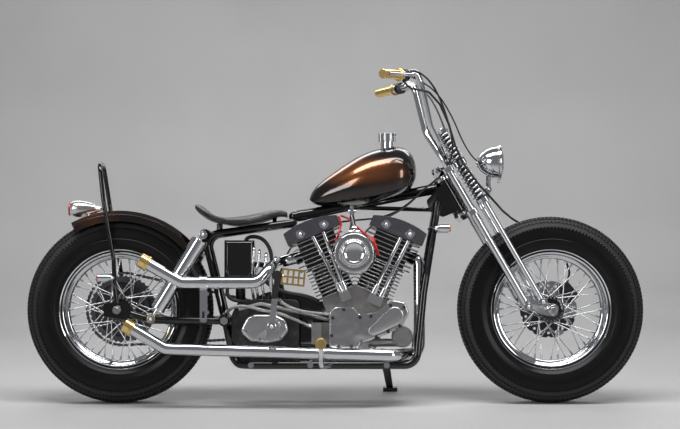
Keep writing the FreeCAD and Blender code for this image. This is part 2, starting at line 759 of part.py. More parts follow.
def coil_spring(side, low, high, turns):
    points = [Vector(FRONT_LEG_FORWARD + radius, side, rise) for radius, rise in coil_outline(low, high, turns)]
    face = Part.Face(Part.makePolygon(points + points[:1]))
    spring = face.revolve(Vector(FRONT_LEG_FORWARD, side, 0), Vector(0, 0, 1), 360)
    spring.Placement = fork_placement()
    return spring


def fork_springs():
    """Two load springs under the perch and two rebound springs above it."""
    low = upper_crown_low()
    high = low + CROWN_HEIGHT
    springs = []
    for side in (-SPRING_HALF_SPREAD, SPRING_HALF_SPREAD):
        springs.append(coil_spring(side, YOKE_TOP, low, LOAD_SPRING_TURNS))
        springs.append(coil_spring(side, high, high + REBOUND_SPRING_LENGTH, REBOUND_SPRING_TURNS))
    return Part.makeCompound(springs)


def rocker_inner():
    """Side offset of a rocker's inner face: the rockers run just inside the legs."""
    return FORK_HALF_WIDTH - REAR_LEG_RADIUS - ROCKER_GAP - ROCKER_WALL


@functools.cache
def fork_rockers():
    """Short leading links with their pivot bolts, which carry the front axle."""
    axle = front_axle()
    rear = fork_point(ROCKER_PIVOT_FORWARD, 0, ROCKER_PIVOT_RISE - FORK_LENGTH)
    front = fork_point(FRONT_LEG_FORWARD, 0, FRONT_PIVOT_RISE - FORK_LENGTH)
    inner = rocker_inner()
    outer = inner + ROCKER_WALL
    along = (axle - rear).normalize()
    across = Vector(-along.z, 0, along.x)
    start = rear - along * ROCKER_RADIUS
    end = axle + along * ROCKER_RADIUS
    belly = axle - across * ROCKER_RADIUS * 1.25 - along * ROCKER_RADIUS * 1.6
    outline = [start + across * ROCKER_RADIUS * 0.8, end + across * ROCKER_RADIUS, end - across * ROCKER_RADIUS,
               belly, start - across * ROCKER_RADIUS * 0.8]
    points = [(point.x, point.z) for point in outline]
    reach = FORK_HALF_WIDTH + REAR_LEG_RADIUS + AXLE_NUT_LENGTH
    pieces = [cross_rod(axle.x, axle.z, AXLE_RADIUS, -reach, reach)]
    for side in (-1, 1):
        low, high = sorted((side * inner, side * outer))
        pieces.append(side_plate(points, low, high, ROCKER_RADIUS * 0.7))
        for pivot in (rear, front):
            low, high = sorted((side * outer, side * reach))
            pieces.append(cross_rod(pivot.x, pivot.z, BOLT_RADIUS, low, high))
        low, high = sorted((side * outer, side * (outer + AXLE_NUT_LENGTH)))
        pieces.append(cross_rod(axle.x, axle.z, AXLE_NUT_RADIUS, low, high))
    return fused(pieces)


def handlebar_route():
    """Centre line of the right half of the bar, in the fork's frame."""
    base = upper_crown_low() + CROWN_HEIGHT
    rise = BAR_RISE - base
    spread = BAR_SPREAD - BAR_BASE_HALF
    base_forward = REAR_LEG_FORWARD + REAR_LEG_RADIUS
    shares = ((0.0, 0.0, 0.0), (0.0, 0.40, 0.35), (0.34, 0.80, 0.50), (0.37, 0.905, 0.53), (0.11, 0.91, 0.57),
              (-0.45, 1.0, 1.0))
    bar_forward = FORK_OFFSET + REAR_LEG_FORWARD
    return [Vector(base_forward + ahead * bar_forward, -(BAR_BASE_HALF + out * spread), base + up * rise)
            for ahead, up, out in shares]


def handlebar():
    """Tall bar, bent from one tube each side and joined by a low cross piece on the upper crown."""
    placement = fork_placement()
    route = [placement.multVec(point) for point in handlebar_route()]
    half = bent_rod(route, BAR_RADIUS, BAR_BEND)
    base = route[0] + (route[1] - route[0]).normalize() * BAR_RADIUS * 2.2
    bridge = rod(Vector(base.x, base.y, base.z), Vector(base.x, -base.y, base.z), BAR_RADIUS)
    return fused(both_sides(half) + [bridge]).cut(fork_chassis())


def grips():
    """A grip over each end of the bar."""
    placement = fork_placement()
    route = [placement.multVec(point) for point in handlebar_route()]
    outward = (route[-1] - route[-2]).normalize()
    end = route[-1] + outward * SPRING_WIRE
    start = end - outward * GRIP_LENGTH
    sleeve = rod(start, end, GRIP_RADIUS)
    flange = rod(start, start + outward * SPRING_WIRE, GRIP_RADIUS + SPRING_WIRE)
    return Part.makeCompound(both_sides(fused([sleeve, flange]).cut(bent_rod(route, BAR_RADIUS, BAR_BEND))))


def hand_controls():
    """A perch and lever in front of each grip."""
    placement = fork_placement()
    route = [placement.multVec(point) for point in handlebar_route()]
    outward = (route[-1] - route[-2]).normalize()
    inner = route[-1] + outward * (SPRING_WIRE - GRIP_LENGTH - RUNNING_GAP)
    start = inner - outward * PERCH_LENGTH
    perch = rod(start, inner, PERCH_RADIUS)
    ahead = Vector(1, 0, 0)
    pivot = (start + inner) / 2 + ahead * (PERCH_RADIUS + LEVER_RADIUS)
    tip = pivot + outward * LEVER_LENGTH + ahead * LEVER_REACH / 4
    lever = bent_rod([pivot - ahead * PERCH_RADIUS, pivot + ahead * LEVER_REACH / 2, tip], LEVER_RADIUS,
                     LEVER_RADIUS * 3)
    solid = fused([perch, lever]).cut(bent_rod(route, BAR_RADIUS, BAR_BEND))
    return Part.makeCompound(both_sides(solid))


def headlamp_outline():
    """Bowl of the headlamp as (distance behind the rim, radius) points."""
    depth = LAMP_DEPTH - LAMP_RIM_DEPTH
    shares = ((0.0, 1.0), (0.25, 0.96), (0.55, 0.80), (0.8, 0.55), (0.95, 0.28), (1.0, 0.0))
    return [(-LAMP_RIM_DEPTH - along * depth, radius * LAMP_RADIUS) for along, radius in shares]


def headlamp():
    """Round bowl and rim on a post that stands on the spring fork's yoke."""
    face = LAMP_FORWARD + LAMP_DEPTH / 2
    centre = Vector(face, 0, LAMP_HEIGHT)
    outline = [(0, 0)] + [(0, LAMP_RADIUS + LAMP_RIM_DEPTH / 4),
                          (-LAMP_RIM_DEPTH, LAMP_RADIUS + LAMP_RIM_DEPTH / 4)] + headlamp_outline()
    points = [centre + Vector(along, 0, radius) for along, radius in outline]
    bowl = Part.Face(Part.makePolygon(points + points[:1])).revolve(centre, Vector(1, 0, 0), 360)
    yoke_front = fork_point(FRONT_LEG_FORWARD + SPRING_RADIUS, 0, YOKE_TOP - YOKE_HEIGHT / 2)
    elbow = Vector(LAMP_FORWARD, 0, LAMP_HEIGHT - LAMP_RADIUS * 1.7)
    post = bent_rod([yoke_front, elbow, Vector(LAMP_FORWARD, 0, LAMP_HEIGHT)], LAMP_POST_RADIUS,
                    LAMP_POST_RADIUS * 1.5)
    return fused([bowl, post]).cut(spring_fork_legs())


def headlamp_lens():
    """Slightly domed glass on the lamp's rim."""
    face = LAMP_FORWARD + LAMP_DEPTH / 2
    curve = (LAMP_RADIUS ** 2 + LENS_BULGE ** 2) / (2 * LENS_BULGE)
    ball = Part.makeSphere(curve, Vector(face + LENS_BULGE - curve, 0, LAMP_HEIGHT))
    front = block(Vector(face, -LAMP_RADIUS, LAMP_HEIGHT - LAMP_RADIUS),
                  Vector(face + LENS_BULGE * 2, LAMP_RADIUS, LAMP_HEIGHT + LAMP_RADIUS))
    return ball.common(front)


def calliper():
    """Front brake calliper over the disc's edge, on a bracket from the left rocker."""
    axle = front_axle()
    angle = math.radians(CALLIPER_BEARING)
    radial = Vector(math.cos(angle), 0, math.sin(angle))
    across = Vector(-radial.z, 0, radial.x)
    inner = axle + radial * (DISC_RADIUS - DISC_BAND)
    outer = axle + radial * (DISC_RADIUS + CALLIPER_HEIGHT / 3)
    half = across * CALLIPER_LENGTH / 2
    points = [(point.x, point.z) for point in (inner - half, outer - half, outer + half, inner + half)]
    low = DISC_OFFSET - CALLIPER_THICKNESS / 2
    high = rocker_inner() + ROCKER_WALL
    body = side_plate(points, low, high, CALLIPER_HEIGHT / 5)
    slot_low = DISC_OFFSET - DISC_WALL / 2 - CALLIPER_CLEARANCE
    slot_high = DISC_OFFSET + DISC_WALL / 2 + CALLIPER_CLEARANCE
    slot = cross_rod(axle.x, axle.z, DISC_RADIUS + CALLIPER_CLEARANCE, slot_low, slot_high)
    arm_end = inner - radial * DISC_BAND
    arm = [(point.x, point.z) for point in (arm_end - half / 3, inner + radial * DISC_BAND - half / 3,
                                            inner + radial * DISC_BAND + half / 3, arm_end + half / 3)]
    bracket = side_plate(arm, rocker_inner(), high)
    return fused([body.cut(slot), bracket]).cut(fork_rockers())


# Frame

def engine_top():
    """Height of the rocker boxes over the middle of a leaned cylinder."""
    return CRANK_HEIGHT + (HEAD_TOP + ROCKER_BOX_HEIGHT) * math.cos(math.radians(CYLINDER_ANGLE))


def seat_rail_front():
    return engine_top() - SEAT_RAIL_BELOW_ENGINE


def backbone_rear():
    return seat_rail_front() + BACKBONE_OVER_RAIL


def backbone_front():
    return fork_point(0, 0, 0).z + BACKBONE_NECK_RISE


def shock_top():
    return seat_rail_height(SHOCK_TOP_BACK) - SHOCK_TOP_BELOW_RAIL


def tank_bottom():
    return backbone_front() - TANK_BELOW_BACKBONE


def seat_base():
    return seat_rail_front() - SEAT_BELOW_RAIL


def oil_tank_top():
    return seat_rail_front() - OIL_TANK_BELOW_RAIL


def oil_tank_bottom():
    return oil_tank_top() - OIL_TANK_HEIGHT


def seat_rail_height(forward):
    """Height of the seat rails' centre line."""
    share = (SEAT_RAIL_FRONT - forward) / (SEAT_RAIL_FRONT - UPRIGHT_TOP)
    return seat_rail_front() - share * SEAT_RAIL_DROP


def side_loop():
    """Left side of the frame as one bent tube: downtube, lower rail, upright and seat rail."""
    neck_back = fork_point(-HEAD_TUBE_RADIUS, 0, 0)
    drop = neck_back.z - RAIL_HEIGHT
    middle = (DOWNTUBE_TOP_HALF + RAIL_HALF_WIDTH) * 0.6
    kick_in = (RAIL_REAR + PIVOT_BACK) / 2 - TUBE_RADIUS
    route = [Vector(neck_back.x - TUBE_RADIUS, DOWNTUBE_TOP_HALF, neck_back.z - drop * 0.05),
             Vector(RAIL_FRONT + TUBE_RADIUS * 1.4, middle, RAIL_HEIGHT + drop * 0.42),
             Vector(RAIL_FRONT - TUBE_RADIUS / 2, RAIL_HALF_WIDTH, RAIL_HEIGHT),
             Vector(RAIL_REAR, RAIL_HALF_WIDTH, RAIL_HEIGHT),
             Vector(kick_in, UPRIGHT_HALF_WIDTH, RAIL_HEIGHT),
             Vector(PIVOT_BACK, UPRIGHT_HALF_WIDTH, PIVOT_HEIGHT),
             Vector(UPRIGHT_TOP, UPRIGHT_HALF_WIDTH, seat_rail_height(UPRIGHT_TOP)),
             Vector(SEAT_RAIL_FRONT, UPRIGHT_HALF_WIDTH * 0.8, seat_rail_front())]
    return bent_rod(route, TUBE_RADIUS, FRAME_BEND)


def neck():
    """Head tube and the cast gusset behind it, bored for the steering stem."""
    tube = upright_rod(0, 0, HEAD_TUBE_BOTTOM, HEAD_TUBE_TOP, HEAD_TUBE_RADIUS)
    outline = [fork_point(0, 0, HEAD_TUBE_TOP - TUBE_RADIUS), fork_point(0, 0, HEAD_TUBE_BOTTOM + TUBE_RADIUS),
               fork_point(-HEAD_TUBE_RADIUS * 2.4, 0, HEAD_TUBE_BOTTOM + TUBE_RADIUS * 1.6),
               fork_point(-HEAD_TUBE_RADIUS * 3.6, 0, -HEAD_TUBE_RADIUS * 1.2),
               fork_point(-HEAD_TUBE_RADIUS * 3.2, 0, HEAD_TUBE_RADIUS / 4)]
    points = [(point.x, point.z) for point in outline]
    gusset = side_plate(points, -NECK_HALF_WIDTH, NECK_HALF_WIDTH, TUBE_RADIUS)
    bore = upright_rod(0, 0, HEAD_TUBE_BOTTOM - OVERRUN, HEAD_TUBE_TOP + OVERRUN, STEM_RADIUS + RUNNING_GAP)
    return fused([tube, gusset]).cut(bore)


def cross_tubes():
    """Tubes between the two sides of the frame."""
    rail_mounts = (RAIL_FRONT * 0.62, -RAIL_FRONT * 0.3, RAIL_REAR)
    tubes = [cross_rod(forward, RAIL_HEIGHT, CROSS_TUBE_RADIUS, -RAIL_HALF_WIDTH, RAIL_HALF_WIDTH)
             for forward in rail_mounts]
    tubes.append(cross_rod(SEAT_RAIL_FRONT, seat_rail_front(), CROSS_TUBE_RADIUS, -UPRIGHT_HALF_WIDTH * 0.8,
                           UPRIGHT_HALF_WIDTH * 0.8))
    shock_stud = SHOCK_HALF_WIDTH + SHOCK_EYE_WIDTH / 2
    tubes.append(cross_rod(SHOCK_TOP_BACK, shock_top(), SHOCK_EYE_RADIUS / 2, -shock_stud, shock_stud))
    tubes.append(cross_rod(PIVOT_BACK, PIVOT_HEIGHT, PIVOT_TUBE_RADIUS, -PIVOT_TUBE_REACH, PIVOT_TUBE_REACH))
    return tubes


def stand_axis():
    """Axis that the side stand turns about: square to the leg, both down and folded back."""
    return stand_leg().cross(stand_folded()).normalize()


def stand_pivot():
    return Vector(STAND_FORWARD, STAND_PIVOT_OFFSET, STAND_PIVOT_HEIGHT)


def stand_leg():
    """From the stand's pivot to the middle of its foot on the leaned ground."""
    ground = STAND_FOOT_OFFSET * math.tan(math.radians(LEAN_ANGLE))
    foot = Vector(STAND_FOOT_FORWARD, STAND_FOOT_OFFSET, ground + STAND_PAD_WALL)
    return foot - stand_pivot()


def stand_folded():
    length = stand_leg().Length
    return Vector(-length, STAND_FOLDED_OUT, STAND_FOLDED_RISE).normalize() * length


def stand_lug():
    """Pin and two lug discs on the left rail that hold the side stand."""
    axis = stand_axis()
    centre = stand_pivot()
    half = STAND_HUB_LENGTH / 2 + RUNNING_GAP
    end = half + STAND_LUG_WALL
    pieces = [rod(centre - axis * end, centre + axis * end, STAND_PIN_RADIUS)]
    rail = Vector(STAND_FORWARD, RAIL_HALF_WIDTH, RAIL_HEIGHT)
    for side in (-1, 1):
        low = centre + axis * (side * half)
        high = centre + axis * (side * end)
        disc = rod(low, high, STAND_HUB_RADIUS)
        inward = (rail - centre)
        inward = (inward - axis * inward.dot(axis)).normalize()
        depth = STAND_PIVOT_OFFSET - RAIL_HALF_WIDTH - TUBE_RADIUS / 2
        width = axis.cross(inward) * STAND_HUB_RADIUS
        corners = [low - width, low + width, low + width + inward * depth, low - width + inward * depth]
        web = Part.Face(Part.makePolygon(corners + corners[:1])).extrude(high - low)
        pieces += [disc, web]
    return pieces


def guard_bracket():
    """Strap from the upper cross tube down to the rear mudguard."""
    axle = rear_axle()
    radius = guard_radius() + GUARD_WALL
    angle = math.radians(GUARD_START + 4)
    foot = axle + Vector(math.cos(angle), 0, math.sin(angle)) * radius
    wide = SHOCK_EYE_RADIUS
    points = [(foot.x - wide, foot.z), (foot.x + wide, foot.z - wide), (SHOCK_TOP_BACK + wide, shock_top()),
              (SHOCK_TOP_BACK - wide / 2, shock_top() + wide / 2)]
    strap = side_plate(points, -NECK_HALF_WIDTH, NECK_HALF_WIDTH)
    keep_out = cross_rod(axle.x, axle.z, radius, -NECK_HALF_WIDTH - OVERRUN, NECK_HALF_WIDTH + OVERRUN)
    return strap.cut(keep_out)


def seat_posts():
    """Short posts that carry the seat pan on the seat rails."""
    posts = []
    for share in (0.26, 0.86):
        forward = SEAT_BACK + share * SEAT_LENGTH
        base = Vector(forward, 0, seat_rail_height(forward))
        posts.append(cross_rod(base.x, base.z, SEAT_POST_RADIUS * 1.3, -UPRIGHT_HALF_WIDTH, UPRIGHT_HALF_WIDTH))
        post = rod(base, base + Vector(0, 0, SEAT_LENGTH / 3), SEAT_POST_RADIUS).cut(seat())
        posts.append(min(post.Solids, key=lambda piece: piece.BoundBox.ZMin))
    return posts


def backbone():
    front = Vector(fork_point(-HEAD_TUBE_RADIUS * 1.6, 0, 0).x, 0, backbone_front())
    rear = Vector(SEAT_RAIL_FRONT, 0, backbone_rear())
    return rod(rear, front, BACKBONE_RADIUS)


def brace():
    """Thin tube under the tank, from the backbone to the head tube."""
    front = fork_point(-HEAD_TUBE_RADIUS * 0.8, 0, HEAD_TUBE_BOTTOM * BRACE_NECK_SHARE)
    rear = Vector(SEAT_RAIL_FRONT, 0, backbone_rear())
    top = Vector(fork_point(-HEAD_TUBE_RADIUS * 1.6, 0, 0).x, 0, backbone_front())
    return rod(rear + (top - rear) * BRACE_BACK_SHARE, front, BRACE_RADIUS)


@functools.cache
def main_frame():
    """Double-cradle frame with its neck, cross tubes, stand lug and brackets."""
    pieces = both_sides(side_loop()) + [neck(), backbone(), brace(), guard_bracket()] + cross_tubes() + stand_lug()
    pieces += marker_stems() + seat_posts()
    return fused(pieces)


@functools.cache
def swingarm():
    """Two round arms with a pivot tube and a slotted plate at each end of the rear axle."""
    axle = rear_axle()
    bend = Vector(SHOCK_FOOT_BACK, 0, (PIVOT_HEIGHT + SHOCK_FOOT_HEIGHT) / 2)
    pieces = []
    for side in (-1, 1):
        out = Vector(0, side * ARM_HALF_WIDTH, 0)
        pivot = Vector(PIVOT_BACK, 0, PIVOT_HEIGHT) + out
        plate_front = Vector(axle.x + AXLE_PLATE_LENGTH * 0.5, 0, axle.z - AXLE_PLATE_HEIGHT * 0.25)
        pieces.append(bent_rod([pivot, bend + out, plate_front + out], ARM_RADIUS, FRAME_BEND))
        inner = side * PIVOT_TUBE_REACH
        low, high = sorted((inner, side * (ARM_HALF_WIDTH + ARM_RADIUS * 1.3)))
        pieces.append(cross_rod(PIVOT_BACK, PIVOT_HEIGHT, PIVOT_TUBE_RADIUS, low, high))
        low = side * ARM_HALF_WIDTH - AXLE_PLATE_WALL / 2
        half_height = AXLE_PLATE_HEIGHT / 2
        outline = [(axle.x - AXLE_PLATE_LENGTH / 2, axle.z - half_height * 0.8),
                   (axle.x + AXLE_PLATE_LENGTH * 0.6, axle.z - half_height * 1.3),
                   (axle.x + AXLE_PLATE_LENGTH * 0.6, axle.z + half_height * 0.2),
                   (axle.x + AXLE_PLATE_LENGTH * 0.1, axle.z + half_height),
                   (axle.x - AXLE_PLATE_LENGTH / 2, axle.z + half_height * 0.8)]
        pieces.append(side_plate(outline, low, low + AXLE_PLATE_WALL, AXLE_RADIUS))
        stud_low, stud_high = sorted((side * ARM_HALF_WIDTH, side * (SHOCK_HALF_WIDTH + SHOCK_EYE_WIDTH / 2)))
        pieces.append(cross_rod(SHOCK_FOOT_BACK, SHOCK_FOOT_HEIGHT, SHOCK_EYE_RADIUS / 2, stud_low, stud_high))
    return fused(pieces).cut(main_frame()).cut(rear_axle_bolt())


@functools.cache
def rear_axle_bolt():
    """Rear axle with its nuts, chain adjusters' spacers and the hub spacer on the right."""
    axle = rear_axle()
    plate = ARM_HALF_WIDTH + AXLE_PLATE_WALL / 2
    inner = ARM_HALF_WIDTH - AXLE_PLATE_WALL / 2
    reach = plate + AXLE_NUT_LENGTH
    pieces = [cross_rod(axle.x, axle.z, AXLE_RADIUS, -reach - BOLT_RADIUS, reach + BOLT_RADIUS),
              cross_rod(axle.x, axle.z, AXLE_NUT_RADIUS, plate, reach),
              cross_rod(axle.x, axle.z, AXLE_NUT_RADIUS, -reach, -plate),
              cross_rod(axle.x, axle.z, AXLE_NUT_RADIUS, -inner, -HUB_HALF_LENGTH - RUNNING_GAP),
              cross_rod(axle.x, axle.z, AXLE_NUT_RADIUS, CHAIN_OFFSET + SPROCKET_WALL / 2 + RUNNING_GAP, inner)]
    return fused(pieces)


def shock(side):
    """Covered rear shock absorber with an eye at each end."""
    foot = Vector(SHOCK_FOOT_BACK, side * SHOCK_HALF_WIDTH, SHOCK_FOOT_HEIGHT)
    top = Vector(SHOCK_TOP_BACK, side * SHOCK_HALF_WIDTH, shock_top())
    along = (top - foot).normalize()
    reach = (top - foot).Length
    start = foot + along * SHOCK_CLEARANCE
    middle = foot + along * reach * 0.55
    end = top - along * SHOCK_CLEARANCE / 2
    half = SHOCK_EYE_WIDTH / 2
    pieces = [rod(foot, top, SHOCK_EYE_RADIUS / 2), rod(start, middle, SHOCK_BODY_RADIUS),
              rod(middle, end, SHOCK_RADIUS),
              cross_rod(foot.x, foot.z, SHOCK_EYE_RADIUS, foot.y - half, foot.y + half),
              cross_rod(top.x, top.z, SHOCK_EYE_RADIUS, top.y - half, top.y + half)]
    studs = [cross_rod(foot.x, foot.z, SHOCK_EYE_RADIUS / 2, foot.y - OVERRUN, foot.y + OVERRUN),
             cross_rod(top.x, top.z, SHOCK_EYE_RADIUS / 2, top.y - OVERRUN, top.y + OVERRUN)]
    return fused(pieces).cut(Part.makeCompound(studs))


@functools.cache
def rear_shocks():
    return Part.makeCompound([shock(-1), shock(1)])


def drive_chain():
    """Final drive chain as one closed loop round both sprockets."""
    axle = rear_axle()
    front = Vector(CLUTCH_BACK, 0, CLUTCH_HEIGHT)
    inner_rear = SPROCKET_RADIUS + CHAIN_CLEARANCE
    inner_front = DRIVE_SPROCKET_RADIUS
    low = CHAIN_OFFSET - CHAIN_WIDTH / 2
    outer = belt(axle, inner_rear + CHAIN_HEIGHT, front, inner_front + CHAIN_HEIGHT, low, CHAIN_WIDTH)
    inner = belt(axle, inner_rear, front, inner_front, low - OVERRUN, CHAIN_WIDTH + 2 * OVERRUN)
    return outer.cut(inner)


def belt(first, first_radius, second, second_radius, low, depth):
    """Solid inside a loop round two circles that lie parallel to the mid-plane."""
    gap = Vector(second.x - first.x, 0, second.z - first.z)
    slope = math.atan2(gap.z, gap.x)
    lean = math.acos((first_radius - second_radius) / gap.Length)
    spots = []
    for centre, radius, turn in ((first, first_radius, lean), (second, second_radius, lean),
                                 (second, second_radius, 0), (second, second_radius, -lean),
                                 (first, first_radius, -lean), (first, first_radius, math.pi)):
        angle = slope + turn
        spots.append(Vector(centre.x + radius * math.cos(angle), low, centre.z + radius * math.sin(angle)))
    edges = [Part.LineSegment(spots[0], spots[1]).toShape(), Part.Arc(*spots[1:4]).toShape(),
             Part.LineSegment(spots[3], spots[4]).toShape(), Part.Arc(spots[4], spots[5], spots[0]).toShape()]
    return Part.Face(Part.Wire(edges)).extrude(Vector(0, depth, 0))


# Engine

def crank():
    return Vector(CRANK_FORWARD, 0, CRANK_HEIGHT)


def cylinder_placement(lean):
    """Frame of one cylinder: up its bore from the crank, with the forward axis square to it."""
    return Placement(crank(), Rotation(Vector(0, 1, 0), lean))


@functools.cache
def engine_cases():
    """Round crankcase with a deck under each barrel and the gear case on its right."""
    centre = crank()
    pieces = [cross_rod(centre.x, centre.z, CASE_RADIUS, -CASE_HALF_WIDTH, CASE_HALF_WIDTH)]
    for lean in (-CYLINDER_ANGLE, CYLINDER_ANGLE):
        half = BARREL_FIN_HALF * 0.82
        deck = block(Vector(-half, -CASE_HALF_WIDTH, 0), Vector(half, CASE_HALF_WIDTH, BARREL_BASE))
        deck.Placement = cylinder_placement(lean)
        pieces.append(deck)
    low = -CASE_HALF_WIDTH - GEAR_CASE_WALL
    pieces.append(side_plate(cam_cover_points(), low, -CASE_HALF_WIDTH, CAM_COVER_FILLET * 2))
    pieces.append(cross_rod(centre.x, centre.z, MAINSHAFT_RADIUS * 2, CASE_HALF_WIDTH, PRIMARY_INNER))
    foot = block(Vector(centre.x - CASE_RADIUS * 1.7, -CASE_HALF_WIDTH, RAIL_HEIGHT + CROSS_TUBE_RADIUS),
                 Vector(centre.x + CASE_RADIUS * 1.3, CASE_HALF_WIDTH, CRANK_HEIGHT - CASE_RADIUS * 0.8))
    pieces.append(foot)
    return fused(pieces + side_block(centre.x - CASE_RADIUS * 1.7))


def side_block(back):
    """Squared mounting block behind the gear case and the web that carries it."""
    low = CRANK_HEIGHT - SIDE_BLOCK_HEIGHT / 2
    high = low + SIDE_BLOCK_HEIGHT
    outer = -CASE_HALF_WIDTH - SIDE_BLOCK_DEPTH
    return [block(Vector(back, outer, low), Vector(back + SIDE_BLOCK_LENGTH, -CASE_HALF_WIDTH / 2, high)),
            block(Vector(back, -CASE_HALF_WIDTH, low), Vector(CRANK_FORWARD, -CASE_HALF_WIDTH / 2, high))]


def cam_cover_points():
    return [(CAM_COVER_BACK + along * CAM_COVER_LENGTH, CAM_COVER_BOTTOM + up * CAM_COVER_HEIGHT)
            for along, up in CAM_COVER_SHARES]


@functools.cache
def cam_cover():
    """Polished two-lobed cover over the cam gears and the timer, with a softened edge."""
    face = -CASE_HALF_WIDTH - GEAR_CASE_WALL
    cover = side_plate(cam_cover_points(), face - CAM_COVER_DEPTH, face, CAM_COVER_FILLET * 2)
    outer = [edge for edge in cover.Edges if edge.BoundBox.YMax < face - CAM_COVER_DEPTH + CAM_COVER_FILLET]
    return cover.makeFillet(CAM_COVER_FILLET, outer)


def finned(base, top, count, half, core):
    """A cylinder core with evenly spaced fins, each a plate with clipped corners."""
    pieces = [core]
    pitch = (top - base - FIN_WALL) / (count - 1)
    for index in range(count):
        low = base + index * pitch
        corners = [(half - FIN_CORNER, -FIN_DEPTH_HALF), (half, FIN_CORNER - FIN_DEPTH_HALF),
                   (half, FIN_DEPTH_HALF - FIN_CORNER), (half - FIN_CORNER, FIN_DEPTH_HALF)]
        outline = corners + [(-forward, side) for forward, side in corners[::-1]]
        points = [Vector(forward, side, low) for forward, side in outline]
        pieces.append(Part.Face(Part.makePolygon(points + points[:1])).extrude(Vector(0, 0, FIN_WALL)))
    return fused(pieces)


@functools.cache
def engine_cylinder(lean):
    """One finned barrel and head, cleared at the foot of the V for its neighbour."""
    barrel_core = Part.makeCylinder(BARREL_CORE_RADIUS, BARREL_TOP - BARREL_BASE, Vector(0, 0, BARREL_BASE))
    barrel = finned(BARREL_BASE, BARREL_TOP - FIN_WALL, BARREL_FINS, BARREL_FIN_HALF, barrel_core)
    half = HEAD_FIN_HALF * 0.72
    depth = FIN_DEPTH_HALF * 0.78
    head_core = block(Vector(-half, -depth, BARREL_TOP - FIN_WALL), Vector(half, depth, HEAD_TOP))
    head = finned(BARREL_TOP, HEAD_TOP - FIN_WALL, HEAD_FINS, HEAD_FIN_HALF, head_core)
    whole = fused([barrel, head])
    whole.Placement = cylinder_placement(lean)
    far = CRANK_FORWARD - math.copysign(OVERRUN * 4, lean)
    near = CRANK_FORWARD + math.copysign(V_CLEARANCE, lean)
    low, high = sorted((far, near))
    neighbour = block(Vector(low, -OVERRUN * 3, CRANK_HEIGHT), Vector(high, OVERRUN * 3, CRANK_HEIGHT * 4))
    return whole.cut(neighbour).cut(engine_cases())


def rocker_box(lean):
    """Arched cover on one head, taller over its middle and outer end, with two acorn nuts."""
    outward = math.copysign(ROCKER_BOX_LENGTH / 2, lean)
    outline = [Vector(-outward, 0, HEAD_TOP), Vector(outward, 0, HEAD_TOP),
               Vector(outward, 0, HEAD_TOP + ROCKER_BOX_OUTER_HEIGHT),
               Vector(outward * 0.1, 0, HEAD_TOP + ROCKER_BOX_HEIGHT),
               Vector(-outward, 0, HEAD_TOP + ROCKER_BOX_INNER_HEIGHT)]
    shift = Vector(0, -ROCKER_BOX_RIGHT, 0)
    outline = [point + shift for point in outline]
    edges = [Part.LineSegment(outline[0], outline[1]).toShape(), Part.LineSegment(outline[1], outline[2]).toShape(),
             Part.Arc(outline[2], outline[3], outline[4]).toShape(),
             Part.LineSegment(outline[4], outline[0]).toShape()]
    box = Part.Face(Part.Wire(edges)).extrude(Vector(0, ROCKER_BOX_RIGHT + ROCKER_BOX_LEFT, 0))
    pieces = [box]
    for share in (-0.45, 0.45):
        spot = Vector(outward * share, -ROCKER_BOX_RIGHT, HEAD_TOP + ROCKER_BOX_INNER_HEIGHT * 0.6)
        pieces.append(rod(spot, spot - Vector(0, ACORN_RADIUS, 0), ACORN_RADIUS))
    whole = fused(pieces)
    whole.Placement = cylinder_placement(lean)
    return whole


@functools.cache
def rocker_boxes():
    return Part.makeCompound([rocker_box(-CYLINDER_ANGLE), rocker_box(CYLINDER_ANGLE)])


def pushrod_lines():
    """Foot and top of each pushrod tube: two to each cylinder, spread at the top."""
    lines = []
    for lean, pairs in ((-1, ((-0.70, -0.40), (-0.50, 0.20))), (1, ((0.06, 0.30), (0.46, 0.74)))):
        placement = cylinder_placement(lean * CYLINDER_ANGLE)
        for foot_share, top_share in pairs:
            foot = Vector(foot_share * TAPPET_LENGTH, -PUSHROD_OFFSET, BARREL_BASE - TAPPET_HEIGHT / 8)
            top = Vector(top_share * ROCKER_BOX_LENGTH / 3, -PUSHROD_OFFSET, HEAD_TOP)
            if lean < 0:
                foot.x += TAPPET_LENGTH * 0.85
                top.x += ROCKER_BOX_LENGTH * 0.10
            lines.append((placement.multVec(foot), placement.multVec(top)))
    return lines


@functools.cache
def pushrod_tubes():
    """Four chrome pushrod tubes, each with a wider cup at its foot."""
    tubes = []
    for foot, top in pushrod_lines():
        along = (top - foot).normalize()
        cup = rod(foot, foot + along * TAPPET_HEIGHT, PUSHROD_COVER_RADIUS)
        tubes.append(fused([rod(foot, top, PUSHROD_RADIUS), cup]))
    return Part.makeCompound(tubes).cut(rocker_boxes())


def tappet_blocks():
    """Two blocks on the gear case that hold the feet of the pushrod tubes."""
    blocks = []
    lines = pushrod_lines()
    depth = TAPPET_DEPTH / 2
    for first, second in ((lines[0][0], lines[1][0]), (lines[2][0], lines[3][0])):
        middle = (first + second) / 2
        along = (second - first).normalize()
        down = Vector(along.z, 0, -along.x)
        half = along * ((second - first).Length / 2 + PUSHROD_COVER_RADIUS)
        corners = [middle - half, middle + half, middle + half + down * TAPPET_HEIGHT,
                   middle - half + down * TAPPET_HEIGHT]
        points = [(corner.x, corner.z) for corner in corners]
        blocks.append(side_plate(points, -PUSHROD_OFFSET - depth, -PUSHROD_OFFSET + depth))
    return fused(blocks).cut(engine_cases()).cut(cam_cover()).cut(pushrod_tubes())


